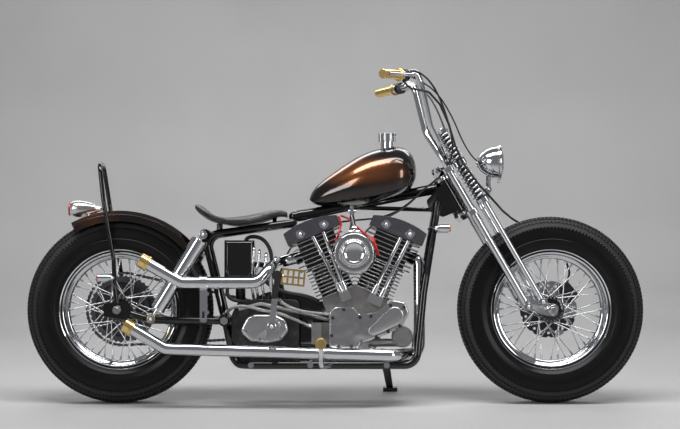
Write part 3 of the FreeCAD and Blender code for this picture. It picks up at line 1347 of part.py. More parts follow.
def oil_pump():
    """Oil pump and rough-cast timer housing in front of the gear case."""
    face = -CASE_HALF_WIDTH
    pump = block(Vector(CRANK_FORWARD + PUMP_WIDTH / 3, face - PUMP_DEPTH - GEAR_CASE_WALL,
                        CRANK_HEIGHT - CASE_RADIUS),
                 Vector(CRANK_FORWARD + PUMP_WIDTH * 4 / 3, face, CRANK_HEIGHT - CASE_RADIUS + PUMP_HEIGHT))
    timer = cross_rod(TIMER_FORWARD, TIMER_HEIGHT, TIMER_RADIUS, face - CAM_COVER_DEPTH, face + GEAR_CASE_WALL)
    barrel_start = Vector(CRANK_FORWARD + PUMP_WIDTH, face - PUMP_DEPTH / 2, TIMER_HEIGHT - TIMER_RADIUS * 0.55)
    barrel_end = Vector(TIMER_FORWARD, barrel_start.y, barrel_start.z)
    whole = fused([pump, timer, rod(barrel_start, barrel_end, PUMP_WIDTH * 0.4)])
    return whole.cut(engine_cases()).cut(cam_cover())


def air_cleaner():
    """Round chrome air cleaner with a stepped face and a bare centre."""
    centre = Vector(AIR_CLEANER_FORWARD, 0, AIR_CLEANER_HEIGHT)
    inner = -AIR_CLEANER_OFFSET
    outer = inner - AIR_CLEANER_DEPTH
    shares = ((0.0, 0.94), (0.30, 1.0), (0.62, 1.0), (0.86, 0.90), (0.92, 0.72), (0.88, 0.66), (1.0, 0.60))
    outline = [(inner, 0), (outer, 0)]
    rings = [(inner - along * AIR_CLEANER_DEPTH, radius * AIR_CLEANER_RADIUS) for along, radius in shares]
    return turned(outline + rings[::-1], centre)


def carburettor():
    """Carburettor behind the air cleaner with its manifold to both heads."""
    centre = Vector(AIR_CLEANER_FORWARD, 0, AIR_CLEANER_HEIGHT)
    throat = cross_rod(centre.x, centre.z, CARBURETTOR_RADIUS, -AIR_CLEANER_OFFSET, -FIN_DEPTH_HALF * 0.6)
    bowl = rod(Vector(centre.x, -AIR_CLEANER_OFFSET * 0.75, centre.z - CARBURETTOR_RADIUS * 1.9),
               Vector(centre.x, -AIR_CLEANER_OFFSET * 0.75, centre.z), CARBURETTOR_RADIUS * 0.8)
    spread = Vector(HEAD_FIN_HALF * 0.62, 0, 0)
    start = centre + Vector(0, -FIN_DEPTH_HALF * 0.5, 0)
    manifold = rod(start - spread, start + spread, MANIFOLD_RADIUS)
    whole = fused([throat, bowl, manifold])
    return largest(whole.cut(engine_cylinder(-CYLINDER_ANGLE)).cut(engine_cylinder(CYLINDER_ANGLE)))


# Gearbox, kick starter and primary drive

def gearbox():
    """Gearbox block with rounded corners, its main shaft and the chain's drive sprocket."""
    corners = [(GEARBOX_BACK, GEARBOX_BOTTOM), (GEARBOX_FRONT, GEARBOX_BOTTOM), (GEARBOX_FRONT, GEARBOX_TOP),
               (GEARBOX_BACK + GEARBOX_CORNER, GEARBOX_TOP), (GEARBOX_BACK, GEARBOX_TOP - GEARBOX_CORNER * 2)]
    case = side_plate(corners, -GEARBOX_HALF_WIDTH, GEARBOX_HALF_WIDTH, GEARBOX_CORNER)
    shaft = cross_rod(CLUTCH_BACK, CLUTCH_HEIGHT, MAINSHAFT_RADIUS, GEARBOX_HALF_WIDTH, PRIMARY_INNER)
    low = CHAIN_OFFSET - SPROCKET_WALL / 2
    wheel = cross_rod(CLUTCH_BACK, CLUTCH_HEIGHT, DRIVE_SPROCKET_RADIUS, low, low + SPROCKET_WALL)
    foot_low = Vector(GEARBOX_BACK + GEARBOX_CORNER, -GEARBOX_HALF_WIDTH * 0.7, RAIL_HEIGHT)
    foot_high = Vector(GEARBOX_FRONT, GEARBOX_HALF_WIDTH * 0.7, GEARBOX_BOTTOM + GEARBOX_CORNER)
    return fused([case, shaft, wheel, block(foot_low, foot_high)]).cut(main_frame()).cut(engine_cases())


def kick_cover():
    """Polished cover of the kick starter, with the boss of its shaft."""
    length = KICK_COVER_FRONT - KICK_COVER_BACK
    height = KICK_COVER_TOP - KICK_COVER_BOTTOM
    points = [(KICK_COVER_BACK + along * length, KICK_COVER_BOTTOM + up * height)
              for along, up in KICK_COVER_SHARES]
    face = -GEARBOX_HALF_WIDTH
    cover = side_plate(points, face - KICK_COVER_DEPTH, face, GEARBOX_CORNER)
    outer = [edge for edge in cover.Edges if edge.BoundBox.YMax < face - KICK_COVER_DEPTH / 2]
    cover = cover.makeFillet(CAM_COVER_FILLET * 2, outer)
    boss = cross_rod(KICK_SHAFT_BACK, KICK_SHAFT_HEIGHT, KICK_SHAFT_RADIUS * 2, face - KICK_COVER_DEPTH * 1.3,
                     face)
    shaft = cross_rod(KICK_SHAFT_BACK, KICK_SHAFT_HEIGHT, KICK_SHAFT_RADIUS, -KICK_ARM_OFFSET, face)
    arm = cross_rod(KICK_SHAFT_BACK, KICK_SHAFT_HEIGHT, KICK_ARM_WIDTH, -KICK_ARM_OFFSET - KICK_ARM_WALL / 2,
                    -KICK_ARM_OFFSET + KICK_ARM_WALL / 2)
    return fused([cover, boss, shaft]).cut(arm)


@functools.cache
def kick_arm():
    """Kick starter arm, wider at its shaft, with the pivot stub of its pedal."""
    low = -KICK_ARM_OFFSET - KICK_ARM_WALL / 2
    high = low + KICK_ARM_WALL
    foot = Vector(KICK_SHAFT_BACK, 0, KICK_SHAFT_HEIGHT)
    top = Vector(KICK_ARM_TOP_BACK, 0, KICK_ARM_TOP_HEIGHT)
    along = (top - foot).normalize()
    across = Vector(along.z, 0, -along.x) * KICK_ARM_WIDTH / 2
    points = [(point.x, point.z) for point in (foot - across, foot + across, top + across * 0.7,
                                               top - across * 0.7)]
    bar = side_plate(points, low, high)
    hub_disc = cross_rod(foot.x, foot.z, KICK_ARM_WIDTH, low, high)
    head = cross_rod(top.x, top.z, KICK_ARM_WIDTH * 0.75, low - KICK_ARM_WALL / 2, high)
    return fused([bar, hub_disc, head])


def kick_pedal():
    """Open-work pedal: a frame with two rows of windows, hinged on the arm's head."""
    low = -KICK_ARM_OFFSET - PEDAL_WALL / 2
    height = PEDAL_HEIGHT
    start = KICK_ARM_WIDTH * 0.6
    plate = block(Vector(start, low, -height / 2), Vector(start + PEDAL_LENGTH, low + PEDAL_WALL, height / 2))
    pitch = (PEDAL_LENGTH - PEDAL_BAR) / PEDAL_COLUMNS
    windows = []
    for column in range(PEDAL_COLUMNS):
        left = start + PEDAL_BAR + column * pitch
        for bottom in (-height / 2 + PEDAL_BAR, PEDAL_BAR / 2):
            size = Vector(pitch - PEDAL_BAR, PEDAL_WALL + 2 * OVERRUN, height / 2 - PEDAL_BAR * 1.5)
            corner = Vector(left, low - OVERRUN, bottom)
            windows.append(block(corner, corner + size))
    hinge = rod(Vector(start - PEDAL_BAR, -KICK_ARM_OFFSET, 0), Vector(start + PEDAL_BAR, -KICK_ARM_OFFSET, 0),
                PEDAL_BAR)
    pedal = fused([plate.cut(Part.makeCompound(windows)), hinge])
    pedal.Placement = Placement(Vector(KICK_ARM_TOP_BACK, 0, KICK_ARM_TOP_HEIGHT),
                                Rotation(Vector(0, 1, 0), -PEDAL_TILT))
    return pedal.cut(kick_arm())


def primary_cover():
    """Closed primary case on the left, with a shallow dome over the clutch."""
    rear = Vector(CLUTCH_BACK, 0, CLUTCH_HEIGHT)
    case = belt(rear, PRIMARY_REAR_RADIUS, crank(), PRIMARY_FRONT_RADIUS, PRIMARY_INNER, PRIMARY_DEPTH)
    outer = [edge for edge in case.Edges if edge.BoundBox.YMin > PRIMARY_INNER + PRIMARY_DEPTH / 2]
    case = case.makeFillet(GEARBOX_CORNER / 2, outer)
    face = PRIMARY_INNER + PRIMARY_DEPTH
    dome = turned([(face - PRIMARY_DEPTH / 4, 0), (face + CLUTCH_DOME_DEPTH, 0),
                   (face + CLUTCH_DOME_DEPTH, CLUTCH_DOME_RADIUS * 0.7),
                   (face + CLUTCH_DOME_DEPTH / 2, CLUTCH_DOME_RADIUS * 0.93),
                   (face - PRIMARY_DEPTH / 4, CLUTCH_DOME_RADIUS)], rear)
    return fused([case, dome])


# Exhaust

def upper_pipe_route():
    """Rear cylinder's pipe: out of the head, out to the right and straight back with a raised end."""
    port = cylinder_placement(-CYLINDER_ANGLE).multVec(
        Vector(-HEAD_FIN_HALF * 0.72, 0, (BARREL_TOP + HEAD_TOP) / 2))
    height = UPPER_PIPE_HEIGHT
    bend_back = port.x - PIPE_RADIUS * 4.2
    return [port, Vector(bend_back, port.y, port.z - PIPE_RADIUS), Vector(bend_back - PIPE_RADIUS,
                                                                          -UPPER_PIPE_OFFSET * 0.84,
                                                                          height + PIPE_RADIUS * 2.6),
            Vector(bend_back - PIPE_RADIUS * 3, -UPPER_PIPE_OFFSET, height),
            Vector(-0.349 * WHEELBASE, -UPPER_PIPE_OFFSET, height),
            Vector(-0.430 * WHEELBASE, -UPPER_PIPE_OFFSET, height + PIPE_RADIUS * 3.4)]


def lower_pipe_route():
    """Front cylinder's pipe: down ahead of the engine, out over the right rail and straight back."""
    port = cylinder_placement(CYLINDER_ANGLE).multVec(
        Vector(HEAD_FIN_HALF * 0.72, 0, (BARREL_TOP + HEAD_TOP) / 2))
    drop = port.x + PIPE_RADIUS * 2.0
    floor = RAIL_HEIGHT + TUBE_RADIUS + PIPE_RADIUS * 1.15
    side = -RAIL_HALF_WIDTH - TUBE_RADIUS - PIPE_RADIUS * 1.2
    return [port, Vector(drop, -PIPE_RADIUS, port.z - PIPE_RADIUS / 2),
            Vector(drop, -PIPE_RADIUS * 1.7, floor),
            Vector(drop - PIPE_RADIUS * 2.6, -PIPE_RADIUS * 4.4, floor),
            Vector(drop - PIPE_RADIUS * 4.4, side, floor - PIPE_RADIUS / 8),
            Vector(-0.026 * WHEELBASE, -LOWER_PIPE_OFFSET, LOWER_PIPE_HEIGHT - PIPE_RADIUS * 0.4),
            Vector(-0.386 * WHEELBASE, -LOWER_PIPE_OFFSET, LOWER_PIPE_HEIGHT + PIPE_RADIUS * 0.4),
            Vector(-0.468 * WHEELBASE, -LOWER_PIPE_OFFSET, LOWER_PIPE_HEIGHT + PIPE_RADIUS * 4)]


@functools.cache
def exhaust_pipes():
    """Both pipes, cleared where they leave the heads."""
    pipes = []
    for route, lean in ((upper_pipe_route(), -CYLINDER_ANGLE), (lower_pipe_route(), CYLINDER_ANGLE)):
        pipe = largest(bent_rod(route, PIPE_RADIUS, PIPE_BEND).cut(engine_cylinder(lean)))
        end = route[-1]
        along = (end - route[-2]).normalize()
        bore = rod(end - along * TIP_LENGTH, end + along * OVERRUN, PIPE_RADIUS - TIP_WALL / 2)
        pipes.append(pipe.cut(bore))
    return Part.makeCompound(pipes)


def exhaust_tips():
    """A flared tip pushed over the end of each pipe."""
    tips = []
    for route in (upper_pipe_route(), lower_pipe_route()):
        end = route[-1]
        along = (end - route[-2]).normalize()
        start = end - along * TIP_SOCKET
        sleeve = rod(start, start + along * TIP_LENGTH, TIP_RADIUS)
        collar = rod(start, start + along * TIP_WALL * 2, TIP_RADIUS + TIP_WALL / 2)
        bore = rod(start - along * OVERRUN, end + along * OVERRUN, PIPE_RADIUS)
        tips.append(fused([sleeve, collar]).cut(bore))
    return Part.makeCompound(tips)


def pipe_hangers():
    """Clamps on the pipes, the slotted strap that hangs from one, and their stays to the frame."""
    top = UPPER_PIPE_HEIGHT
    band = HANGER_WIDTH / 2
    clamp = rod(Vector(HANGER_BACK - band, -UPPER_PIPE_OFFSET, top),
                Vector(HANGER_BACK + band, -UPPER_PIPE_OFFSET, top), PIPE_RADIUS + HANGER_WALL)
    low = -UPPER_PIPE_OFFSET - HANGER_WALL / 2
    points = [(HANGER_BACK - band, top - HANGER_LENGTH), (HANGER_BACK + band, top - HANGER_LENGTH),
              (HANGER_BACK + band, top - PIPE_RADIUS), (HANGER_BACK - band, top - PIPE_RADIUS)]
    strap = side_plate(points, low, low + HANGER_WALL, band * 0.7)
    slot = [(HANGER_BACK - band / 3, top - HANGER_LENGTH + band), (HANGER_BACK + band / 3,
                                                                   top - HANGER_LENGTH + band),
            (HANGER_BACK + band / 3, top - HANGER_LENGTH + band * 3), (HANGER_BACK - band / 3,
                                                                       top - HANGER_LENGTH + band * 3)]
    strap = strap.cut(side_plate(slot, low - OVERRUN, low + OVERRUN))
    upright = UPRIGHT_HALF_WIDTH
    share = (top - PIVOT_HEIGHT) / (seat_rail_height(UPRIGHT_TOP) - PIVOT_HEIGHT)
    stay_end = Vector(PIVOT_BACK + (UPRIGHT_TOP - PIVOT_BACK) * share, -upright, top)
    stay = rod(Vector(HANGER_BACK, -UPPER_PIPE_OFFSET, top), stay_end, BOLT_RADIUS)
    pieces = fused([clamp, strap, stay])
    return largest(pieces.cut(exhaust_pipes()).cut(main_frame()).cut(rear_shocks()).cut(oil_tank()))


# Bodywork

def tank_section(forward, low, high, half):
    """Section of the tank: a round back over a shallow belly that meet in a seam near the bottom."""
    seam = low + (high - low) * TANK_SEAM_SHARE
    side = half * TANK_SEAM_WIDTH_SHARE
    left = Vector(forward, side, seam)
    right = Vector(forward, -side, seam)
    back = Part.Arc(right, Vector(forward, 0, high), left).toShape()
    belly = Part.Arc(left, Vector(forward, 0, low), right).toShape()
    return Part.Wire([back, belly])


def tank_body():
    sections = []
    for along, low, high, half in TANK_STATION_SHARES:
        sections.append(tank_section(TANK_BACK + along * TANK_LENGTH, tank_bottom() + low * TANK_HEIGHT,
                                        tank_bottom() + high * TANK_HEIGHT, half * TANK_HALF_WIDTH))
    return Part.makeLoft(sections, True)


def fuel_tank():
    """Teardrop tank, its underside cut for the frame's backbone."""
    front = Vector(fork_point(-HEAD_TUBE_RADIUS, 0, 0).x, 0, backbone_front())
    rear = Vector(SEAT_RAIL_FRONT, 0, backbone_rear())
    along = (front - rear).normalize()
    snug = BACKBONE_RADIUS + RUNNING_GAP
    tunnel = rod(rear - along * OVERRUN, front + along * OVERRUN, snug)
    drop = Vector(0, 0, -TANK_HEIGHT)
    side = Vector(0, snug, 0)
    corners = [rear - side, rear + side, rear + side + drop, rear - side + drop]
    slot = Part.Face(Part.makePolygon(corners + corners[:1])).extrude(front - rear)
    return tank_body().cut(tunnel).cut(slot).cut(cap_neck()).cut(main_frame())


def cap_neck():
    base = tank_bottom() + TANK_HEIGHT - CAP_NECK_HEIGHT * 2
    return rod(Vector(CAP_FORWARD, 0, base), Vector(CAP_FORWARD, 0, base + CAP_NECK_HEIGHT * 3),
               CAP_NECK_RADIUS)


def fuel_cap():
    """Round filler cap with a gripped rim on a short neck."""
    base = tank_bottom() + TANK_HEIGHT + CAP_NECK_HEIGHT
    cap = rod(Vector(CAP_FORWARD, 0, base), Vector(CAP_FORWARD, 0, base + CAP_HEIGHT), CAP_RADIUS)
    grooves = []
    for index in range(CAP_GRIPS):
        angle = 2 * math.pi * index / CAP_GRIPS
        spot = Vector(CAP_FORWARD + CAP_RADIUS * math.cos(angle), CAP_RADIUS * math.sin(angle), base)
        grooves.append(rod(spot - Vector(0, 0, OVERRUN), spot + Vector(0, 0, OVERRUN), CAP_GRIP_RADIUS))
    return fused([cap.cut(Part.makeCompound(grooves)), cap_neck()])


def seat_edge(forward, height, wide, drop):
    """Arched line across the seat, its ends lower than its middle by the drop."""
    left = Vector(forward, wide, height - drop)
    right = Vector(forward, -wide, height - drop)
    return Part.Arc(left, Vector(forward, 0, height), right).toShape()


def seat_section(along, rise, half, droop):
    """Closed section of the seat: a thin saddle whose edges droop."""
    forward = SEAT_BACK + along * SEAT_LENGTH
    base = seat_base() + rise * SEAT_LENGTH
    wide = half * SEAT_HALF_WIDTH
    drop = droop * SEAT_LENGTH
    top = seat_edge(forward, base + SEAT_THICKNESS, wide, drop)
    under = seat_edge(forward, base, wide * SEAT_UNDER_SHARE, drop)
    left, right = [Part.LineSegment(top.Vertexes[end].Point, under.Vertexes[end].Point).toShape()
                   for end in (0, 1)]
    return Part.Wire([top, right, under, left])


@functools.cache
def seat():
    """Thin sprung saddle, wide at the back with a raised tail and a narrow nose."""
    return Part.makeLoft([seat_section(*station) for station in SEAT_STATION_SHARES], True)


@functools.cache
def oil_tank():
    """Flat-sided oil tank between the gearbox and the seat, with a filler cap."""
    body = block(Vector(OIL_TANK_BACK, -OIL_TANK_RIGHT, oil_tank_bottom()),
                 Vector(OIL_TANK_FRONT, OIL_TANK_LEFT, oil_tank_top()))
    upright_edges = [edge for edge in body.Edges if edge.BoundBox.YLength < OIL_TANK_CORNER]
    body = body.makeFillet(OIL_TANK_CORNER, upright_edges)
    foot = Vector((OIL_TANK_BACK + OIL_TANK_FRONT) / 2, 0, GEARBOX_TOP)
    column = rod(foot, Vector(foot.x, 0, oil_tank_bottom()), OIL_TANK_CORNER)
    return fused([body, column]).cut(main_frame())


def guard_radius():
    return TYRE_RADIUS + GUARD_CLEARANCE


def rear_mudguard():
    """Short rear mudguard: a turned channel that follows the tyre's crown."""
    axle = rear_axle()
    inner = guard_radius()
    outer = inner + GUARD_WALL
    skirt = inner - GUARD_SKIRT
    wide = GUARD_HALF_WIDTH
    edge = wide * 0.8
    half = [(wide, skirt), (wide, inner - GUARD_SKIRT / 3), (edge, outer)]
    half_in = [(edge - GUARD_WALL / 2, inner), (wide - GUARD_WALL, inner - GUARD_SKIRT / 3),
               (wide - GUARD_WALL, skirt)]
    outline = [(-side, radius) for side, radius in half] + half[::-1] + half_in[::-1]
    outline += [(-side, radius) for side, radius in half_in]
    start = math.radians(GUARD_START)
    radial = Vector(math.cos(start), 0, math.sin(start))
    points = [axle + radial * radius + Vector(0, side, 0) for side, radius in outline]
    face = Part.Face(Part.makePolygon(points + points[:1]))
    return face.revolve(axle, Vector(0, -1, 0), GUARD_END - GUARD_START)


def tail_lamp_outline():
    shares = ((0.0, 0.80), (0.10, 0.94), (0.26, 1.0), (0.50, 0.86), (0.75, 0.56), (0.92, 0.26), (1.0, 0.0))
    return [(along * TAIL_LAMP_LENGTH, radius * TAIL_LAMP_RADIUS) for along, radius in shares]


def tail_lamp():
    """Teardrop tail lamp on the mudguard, with a small plate shelf under it."""
    back = Vector(TAIL_LAMP_BACK, 0, TAIL_LAMP_HEIGHT)
    points = [back] + [back + Vector(along, 0, radius) for along, radius in tail_lamp_outline()]
    body = Part.Face(Part.makePolygon(points + points[:1])).revolve(back, Vector(1, 0, 0), 360)
    axle = rear_axle()
    foot = back + Vector(TAIL_LAMP_LENGTH * 0.4, 0, 0)
    inward = (axle - foot).normalize()
    pillar = rod(foot, foot + inward * TAIL_LAMP_RADIUS * 2.2, TAIL_LAMP_RADIUS * 0.7)
    shelf = block(back + Vector(-PLATE_DEPTH / 3, -PLATE_WIDTH / 2, -TAIL_LAMP_RADIUS - PLATE_WALL),
                  back + Vector(PLATE_DEPTH * 2 / 3, PLATE_WIDTH / 2, -TAIL_LAMP_RADIUS))
    solid = cross_rod(axle.x, axle.z, guard_radius() + GUARD_WALL, -OVERRUN * 2, OVERRUN * 2)
    whole = fused([body, pillar, shelf]).cut(solid)
    return largest(whole)


def tail_lens():
    back = Vector(TAIL_LAMP_BACK, 0, TAIL_LAMP_HEIGHT)
    radius = TAIL_LAMP_RADIUS * 0.8
    return rod(back - Vector(PLATE_WALL * 2, 0, 0), back, radius)


@functools.cache
def backrest_bar():
    """One bent rod: up from each end of the rear axle, past the mudguard and over as a narrow hoop."""
    axle = rear_axle()
    foot = ARM_HALF_WIDTH + AXLE_PLATE_WALL / 2 + REST_RADIUS
    beside = GUARD_HALF_WIDTH + REST_RADIUS + RUNNING_GAP
    rise = REST_HEIGHT - axle.z
    right = [Vector(axle.x, -foot, axle.z + AXLE_NUT_RADIUS + REST_RADIUS),
             Vector(axle.x - REST_RADIUS, -foot, axle.z + rise * 0.16),
             Vector(axle.x - REST_RADIUS * 2, -beside, axle.z + rise * 0.34),
             Vector(axle.x - REST_RADIUS * 6.6, -beside, axle.z + rise * 0.73),
             Vector(REST_BACK, -REST_HALF_WIDTH, REST_HEIGHT)]
    route = right + [Vector(point.x, -point.y, point.z) for point in right[::-1]]
    return bent_rod(route, REST_RADIUS, REST_BEND)


def marker_places():
    """Rear and front corner lamps on the right: centre of the lamp's back end and its forward sense."""
    rear = Vector(REAR_MARKER_BACK, -ARM_HALF_WIDTH - MARKER_RADIUS * 1.6, REAR_MARKER_HEIGHT)
    front = Vector(FRONT_MARKER_FORWARD, -FRONT_MARKER_OFFSET, FRONT_MARKER_HEIGHT)
    return rear, front


def marker_stems():
    """Stems of the front corner lamps on the downtubes."""
    front = marker_places()[1]
    middle = front + Vector(MARKER_LENGTH / 3, 0, 0)
    inner = Vector(middle.x - TUBE_RADIUS * 2, -DOWNTUBE_TOP_HALF * 1.9, middle.z)
    return both_sides(rod(middle, inner, MARKER_STEM_RADIUS))


def corner_lamps():
    """Four bullet-shaped corner lamps, the rear pair on stems from the backrest bar."""
    rear, front = marker_places()
    shapes = []
    shares = ((0.0, 1.0), (0.55, 1.0), (0.8, 0.72), (0.95, 0.35), (1.0, 0.0))
    for place, sense in ((rear, 1), (front, -1)):
        start = place if sense > 0 else place + Vector(MARKER_LENGTH, 0, 0)
        points = [start] + [start + Vector(sense * along * MARKER_LENGTH, 0, radius * MARKER_RADIUS)
                            for along, radius in shares]
        bullet = Part.Face(Part.makePolygon(points + points[:1])).revolve(start, Vector(1, 0, 0), 360)
        if sense > 0:
            stem_end = Vector(rear_axle().x - REST_RADIUS * 1.5, -ARM_HALF_WIDTH, rear.z)
            bullet = fused([bullet, rod(place + Vector(MARKER_LENGTH / 2, 0, 0), stem_end, MARKER_STEM_RADIUS)])
        shapes += both_sides(bullet.cut(backrest_bar()).cut(main_frame()))
    return Part.makeCompound(shapes)


def corner_lenses():
    """A lens on the open end of each corner lamp."""
    rear, front = marker_places()
    wall = MARKER_STEM_RADIUS
    inner = MARKER_RADIUS * 0.85
    shapes = both_sides(rod(rear - Vector(wall, 0, 0), rear, inner))
    tip = front + Vector(MARKER_LENGTH, 0, 0)
    return Part.makeCompound(shapes + both_sides(rod(tip, tip + Vector(wall, 0, 0), inner)))


# Foot pegs, side stand and hoses

def foot_peg():
    """Right foot peg on an arm that drops from its inner end to the lower rail."""
    end = Vector(PEG_BACK, -PEG_REACH, PEG_HEIGHT)
    start = end + Vector(0, PEG_LENGTH, 0)
    rail = Vector(PEG_BACK + PEG_ARM_RADIUS * 4, -RAIL_HALF_WIDTH, RAIL_HEIGHT)
    arm = bent_rod([start - Vector(0, PEG_ARM_RADIUS, 0), start + Vector(0, PEG_ARM_RADIUS / 2, 0),
                    start + Vector(0, PEG_ARM_RADIUS / 2, RAIL_HEIGHT - PEG_HEIGHT), rail], PEG_ARM_RADIUS,
                   PEG_ARM_RADIUS * 1.5)
    return fused([rod(start, end, PEG_RADIUS), rod(start, start + Vector(0, PEG_ARM_RADIUS, 0), PEG_END_RADIUS),
                  arm]).cut(main_frame())


def foot_pegs():
    return Part.makeCompound(both_sides(foot_peg()))


def peg_ends():
    """Turned metal end of each foot peg."""
    end = Vector(PEG_BACK, -PEG_REACH, PEG_HEIGHT)
    return Part.makeCompound(both_sides(rod(end, end - Vector(0, PEG_END_LENGTH, 0), PEG_END_RADIUS)))


def side_stand():
    """Leg with its hub round the pin and a pad flat on the leaned ground."""
    axis = stand_axis()
    pivot = stand_pivot()
    leg = stand_leg()
    along = Vector(leg).normalize()
    across = axis.cross(along).normalize()
    half = STAND_HUB_LENGTH / 2
    hub_ring = rod(pivot - axis * half, pivot + axis * half, STAND_HUB_RADIUS)
    foot = pivot + leg
    wide = across * STAND_WIDTH / 2
    thick = axis * STAND_WALL
    base = pivot - axis * STAND_WALL / 2
    corners = [base - wide, base + wide, base + leg + wide * 0.8, base + leg - wide * 0.8]
    bar = Part.Face(Part.makePolygon(corners + corners[:1])).extrude(thick)
    lean = math.radians(LEAN_ANGLE)
    rise = Vector(0, -math.sin(lean), math.cos(lean))
    out = Vector(0, math.cos(lean), math.sin(lean))
    ground = Vector(foot.x, STAND_FOOT_OFFSET, STAND_FOOT_OFFSET * math.tan(lean))
    pad = Part.makeBox(STAND_PAD_LENGTH, STAND_PAD_WIDTH, STAND_PAD_WALL + STAND_WALL / 2)
    pad.Placement = Placement(ground - Vector(STAND_PAD_LENGTH / 2, 0, 0) - out * STAND_PAD_WIDTH / 2,
                              Rotation(Vector(1, 0, 0), LEAN_ANGLE))
    below = Part.makeBox(OVERRUN * 3, OVERRUN * 3, OVERRUN)
    below.Placement = Placement(ground - Vector(OVERRUN * 1.5, 0, 0) - out * OVERRUN * 1.5 - rise * OVERRUN,
                                Rotation(Vector(1, 0, 0), LEAN_ANGLE))
    bore = rod(pivot - axis * OVERRUN, pivot + axis * OVERRUN, STAND_PIN_RADIUS + RUNNING_GAP)
    return fused([hub_ring, bar, pad]).cut(bore).cut(below)


def oil_hose_routes():
    """Two braided hoses from the oil tank's side of the gearbox to the crankcase."""
    side = -GEARBOX_HALF_WIDTH - OIL_HOSE_RADIUS * 1.4
    front = CRANK_FORWARD - CASE_RADIUS * 1.35
    return [[Vector(GEARBOX_BACK + GEARBOX_CORNER, side, GEARBOX_TOP - GEARBOX_CORNER * 1.3),
             Vector(GEARBOX_BACK + GEARBOX_CORNER * 4, side - OIL_HOSE_RADIUS, GEARBOX_TOP - GEARBOX_CORNER * 0.5),
             Vector(GEARBOX_FRONT - GEARBOX_CORNER * 3, side - OIL_HOSE_RADIUS, GEARBOX_TOP - GEARBOX_CORNER),
             Vector(GEARBOX_FRONT + GEARBOX_CORNER / 2, side, GEARBOX_TOP - GEARBOX_CORNER * 1.8),
             Vector(front + GEARBOX_CORNER * 1.6, -CASE_HALF_WIDTH * 0.6, GEARBOX_TOP - GEARBOX_CORNER * 2.9)]]


def oil_hoses():
    hoses = [bent_rod(route, OIL_HOSE_RADIUS, OIL_HOSE_BEND) for route in oil_hose_routes()]
    return Part.makeCompound(hoses).cut(engine_cases())


def brake_hose_route():
    """From the right hand lever, down the fork and over the tyre's left shoulder to the calliper."""
    return [Vector(*point) for point in BRAKE_HOSE_POINTS]


def brake_hose():
    hose = bent_rod(brake_hose_route(), BRAKE_HOSE_RADIUS, BRAKE_HOSE_BEND)
    return hose.cut(hand_controls()).cut(calliper())


# The whole machine

NODES = {
    "main_frame": main_frame,
    "swingarm": swingarm,
    "rear_axle": rear_axle_bolt,
    "rear_shocks": rear_shocks,
    "drive_chain": drive_chain,
    "engine_cases": engine_cases,
    "cylinder_rear": lambda: engine_cylinder(-CYLINDER_ANGLE),
    "cylinder_front": lambda: engine_cylinder(CYLINDER_ANGLE),
    "rocker_boxes": rocker_boxes,
    "pushrod_tubes": pushrod_tubes,
    "tappet_blocks": tappet_blocks,
    "cam_cover": cam_cover,
    "oil_pump": oil_pump,
    "air_cleaner": air_cleaner,
    "carburettor": carburettor,
    "gearbox": gearbox,
    "kick_cover": kick_cover,
    "kick_arm": kick_arm,
    "kick_pedal": kick_pedal,
    "primary_cover": primary_cover,
    "exhaust_pipes": exhaust_pipes,
    "exhaust_tips": exhaust_tips,
    "pipe_hangers": pipe_hangers,
    "fuel_tank": fuel_tank,
    "fuel_cap": fuel_cap,
    "seat": seat,
    "oil_tank": oil_tank,
    "rear_mudguard": rear_mudguard,
    "tail_lamp": tail_lamp,
    "tail_lens": tail_lens,
    "backrest_bar": backrest_bar,
    "corner_lamps": corner_lamps,
    "corner_lenses": corner_lenses,
    "foot_pegs": foot_pegs,
    "peg_ends": peg_ends,
    "oil_hoses": oil_hoses,
    "fork_chassis": fork_chassis,
    "spring_fork_legs": spring_fork_legs,
    "fork_springs": fork_springs,
    "fork_rockers": fork_rockers,
    "handlebar": handlebar,
    "grips": grips,
    "hand_controls": hand_controls,
    "headlamp": headlamp,
    "headlamp_lens": headlamp_lens,
    "front_calliper": calliper,
    "brake_hose": brake_hose,
    "front_tyre": lambda: tyre(front_axle()),
    "front_wheel": lambda: wire_wheel(front_axle()),
    "front_disc": brake_disc,
    "rear_tyre": lambda: tyre(rear_axle()),
    "rear_wheel": lambda: wire_wheel(rear_axle()),
    "rear_drum": rear_drum,
    "side_stand": side_stand,
}


def build():
    """Every node's solids, upright."""
    return {name: make() for name, make in NODES.items()}


def export_placement(shapes):
    """The lean, then the origin at the middle of the leaned machine's box, on the ground."""
    lean = place_on_ground()
    whole = Part.makeCompound(list(shapes.values()))
    whole.Placement = lean.multiply(whole.Placement)
    box = whole.optimalBoundingBox(True, False)
    centre = Vector((box.XMin + box.XMax) / 2, (box.YMin + box.YMax) / 2, box.ZMin)
    return Placement(centre * -1, Rotation()).multiply(lean)


def main():
    os.makedirs("parts", exist_ok=True)
    shapes = build()
    placement = export_placement(shapes)
    for name, shape in shapes.items():
        leaned = shape.copy()
        leaned.Placement = placement.multiply(leaned.Placement)
        leaned.exportStep(os.path.join("parts", name + ".step"))
    print(len(shapes), "nodes; bend radii in mm: oil hoses", OIL_HOSE_BEND, "brake hose", BRAKE_HOSE_BEND)


if __name__ == "__main__":
    main()
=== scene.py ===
"""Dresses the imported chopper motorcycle: finer pieces over the CAD frame, finishes, light and camera.

Machine coordinates are those of the upright machine in metres: X forward from half-way between the
axles, Y to the machine's left, Z up from the ground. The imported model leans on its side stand, so a
piece is built upright and then leaned with it.
"""
import json
import logging
import math
from dataclasses import dataclass, field
from enum import Enum
from functools import partial
from typing import Callable, Optional, Sequence

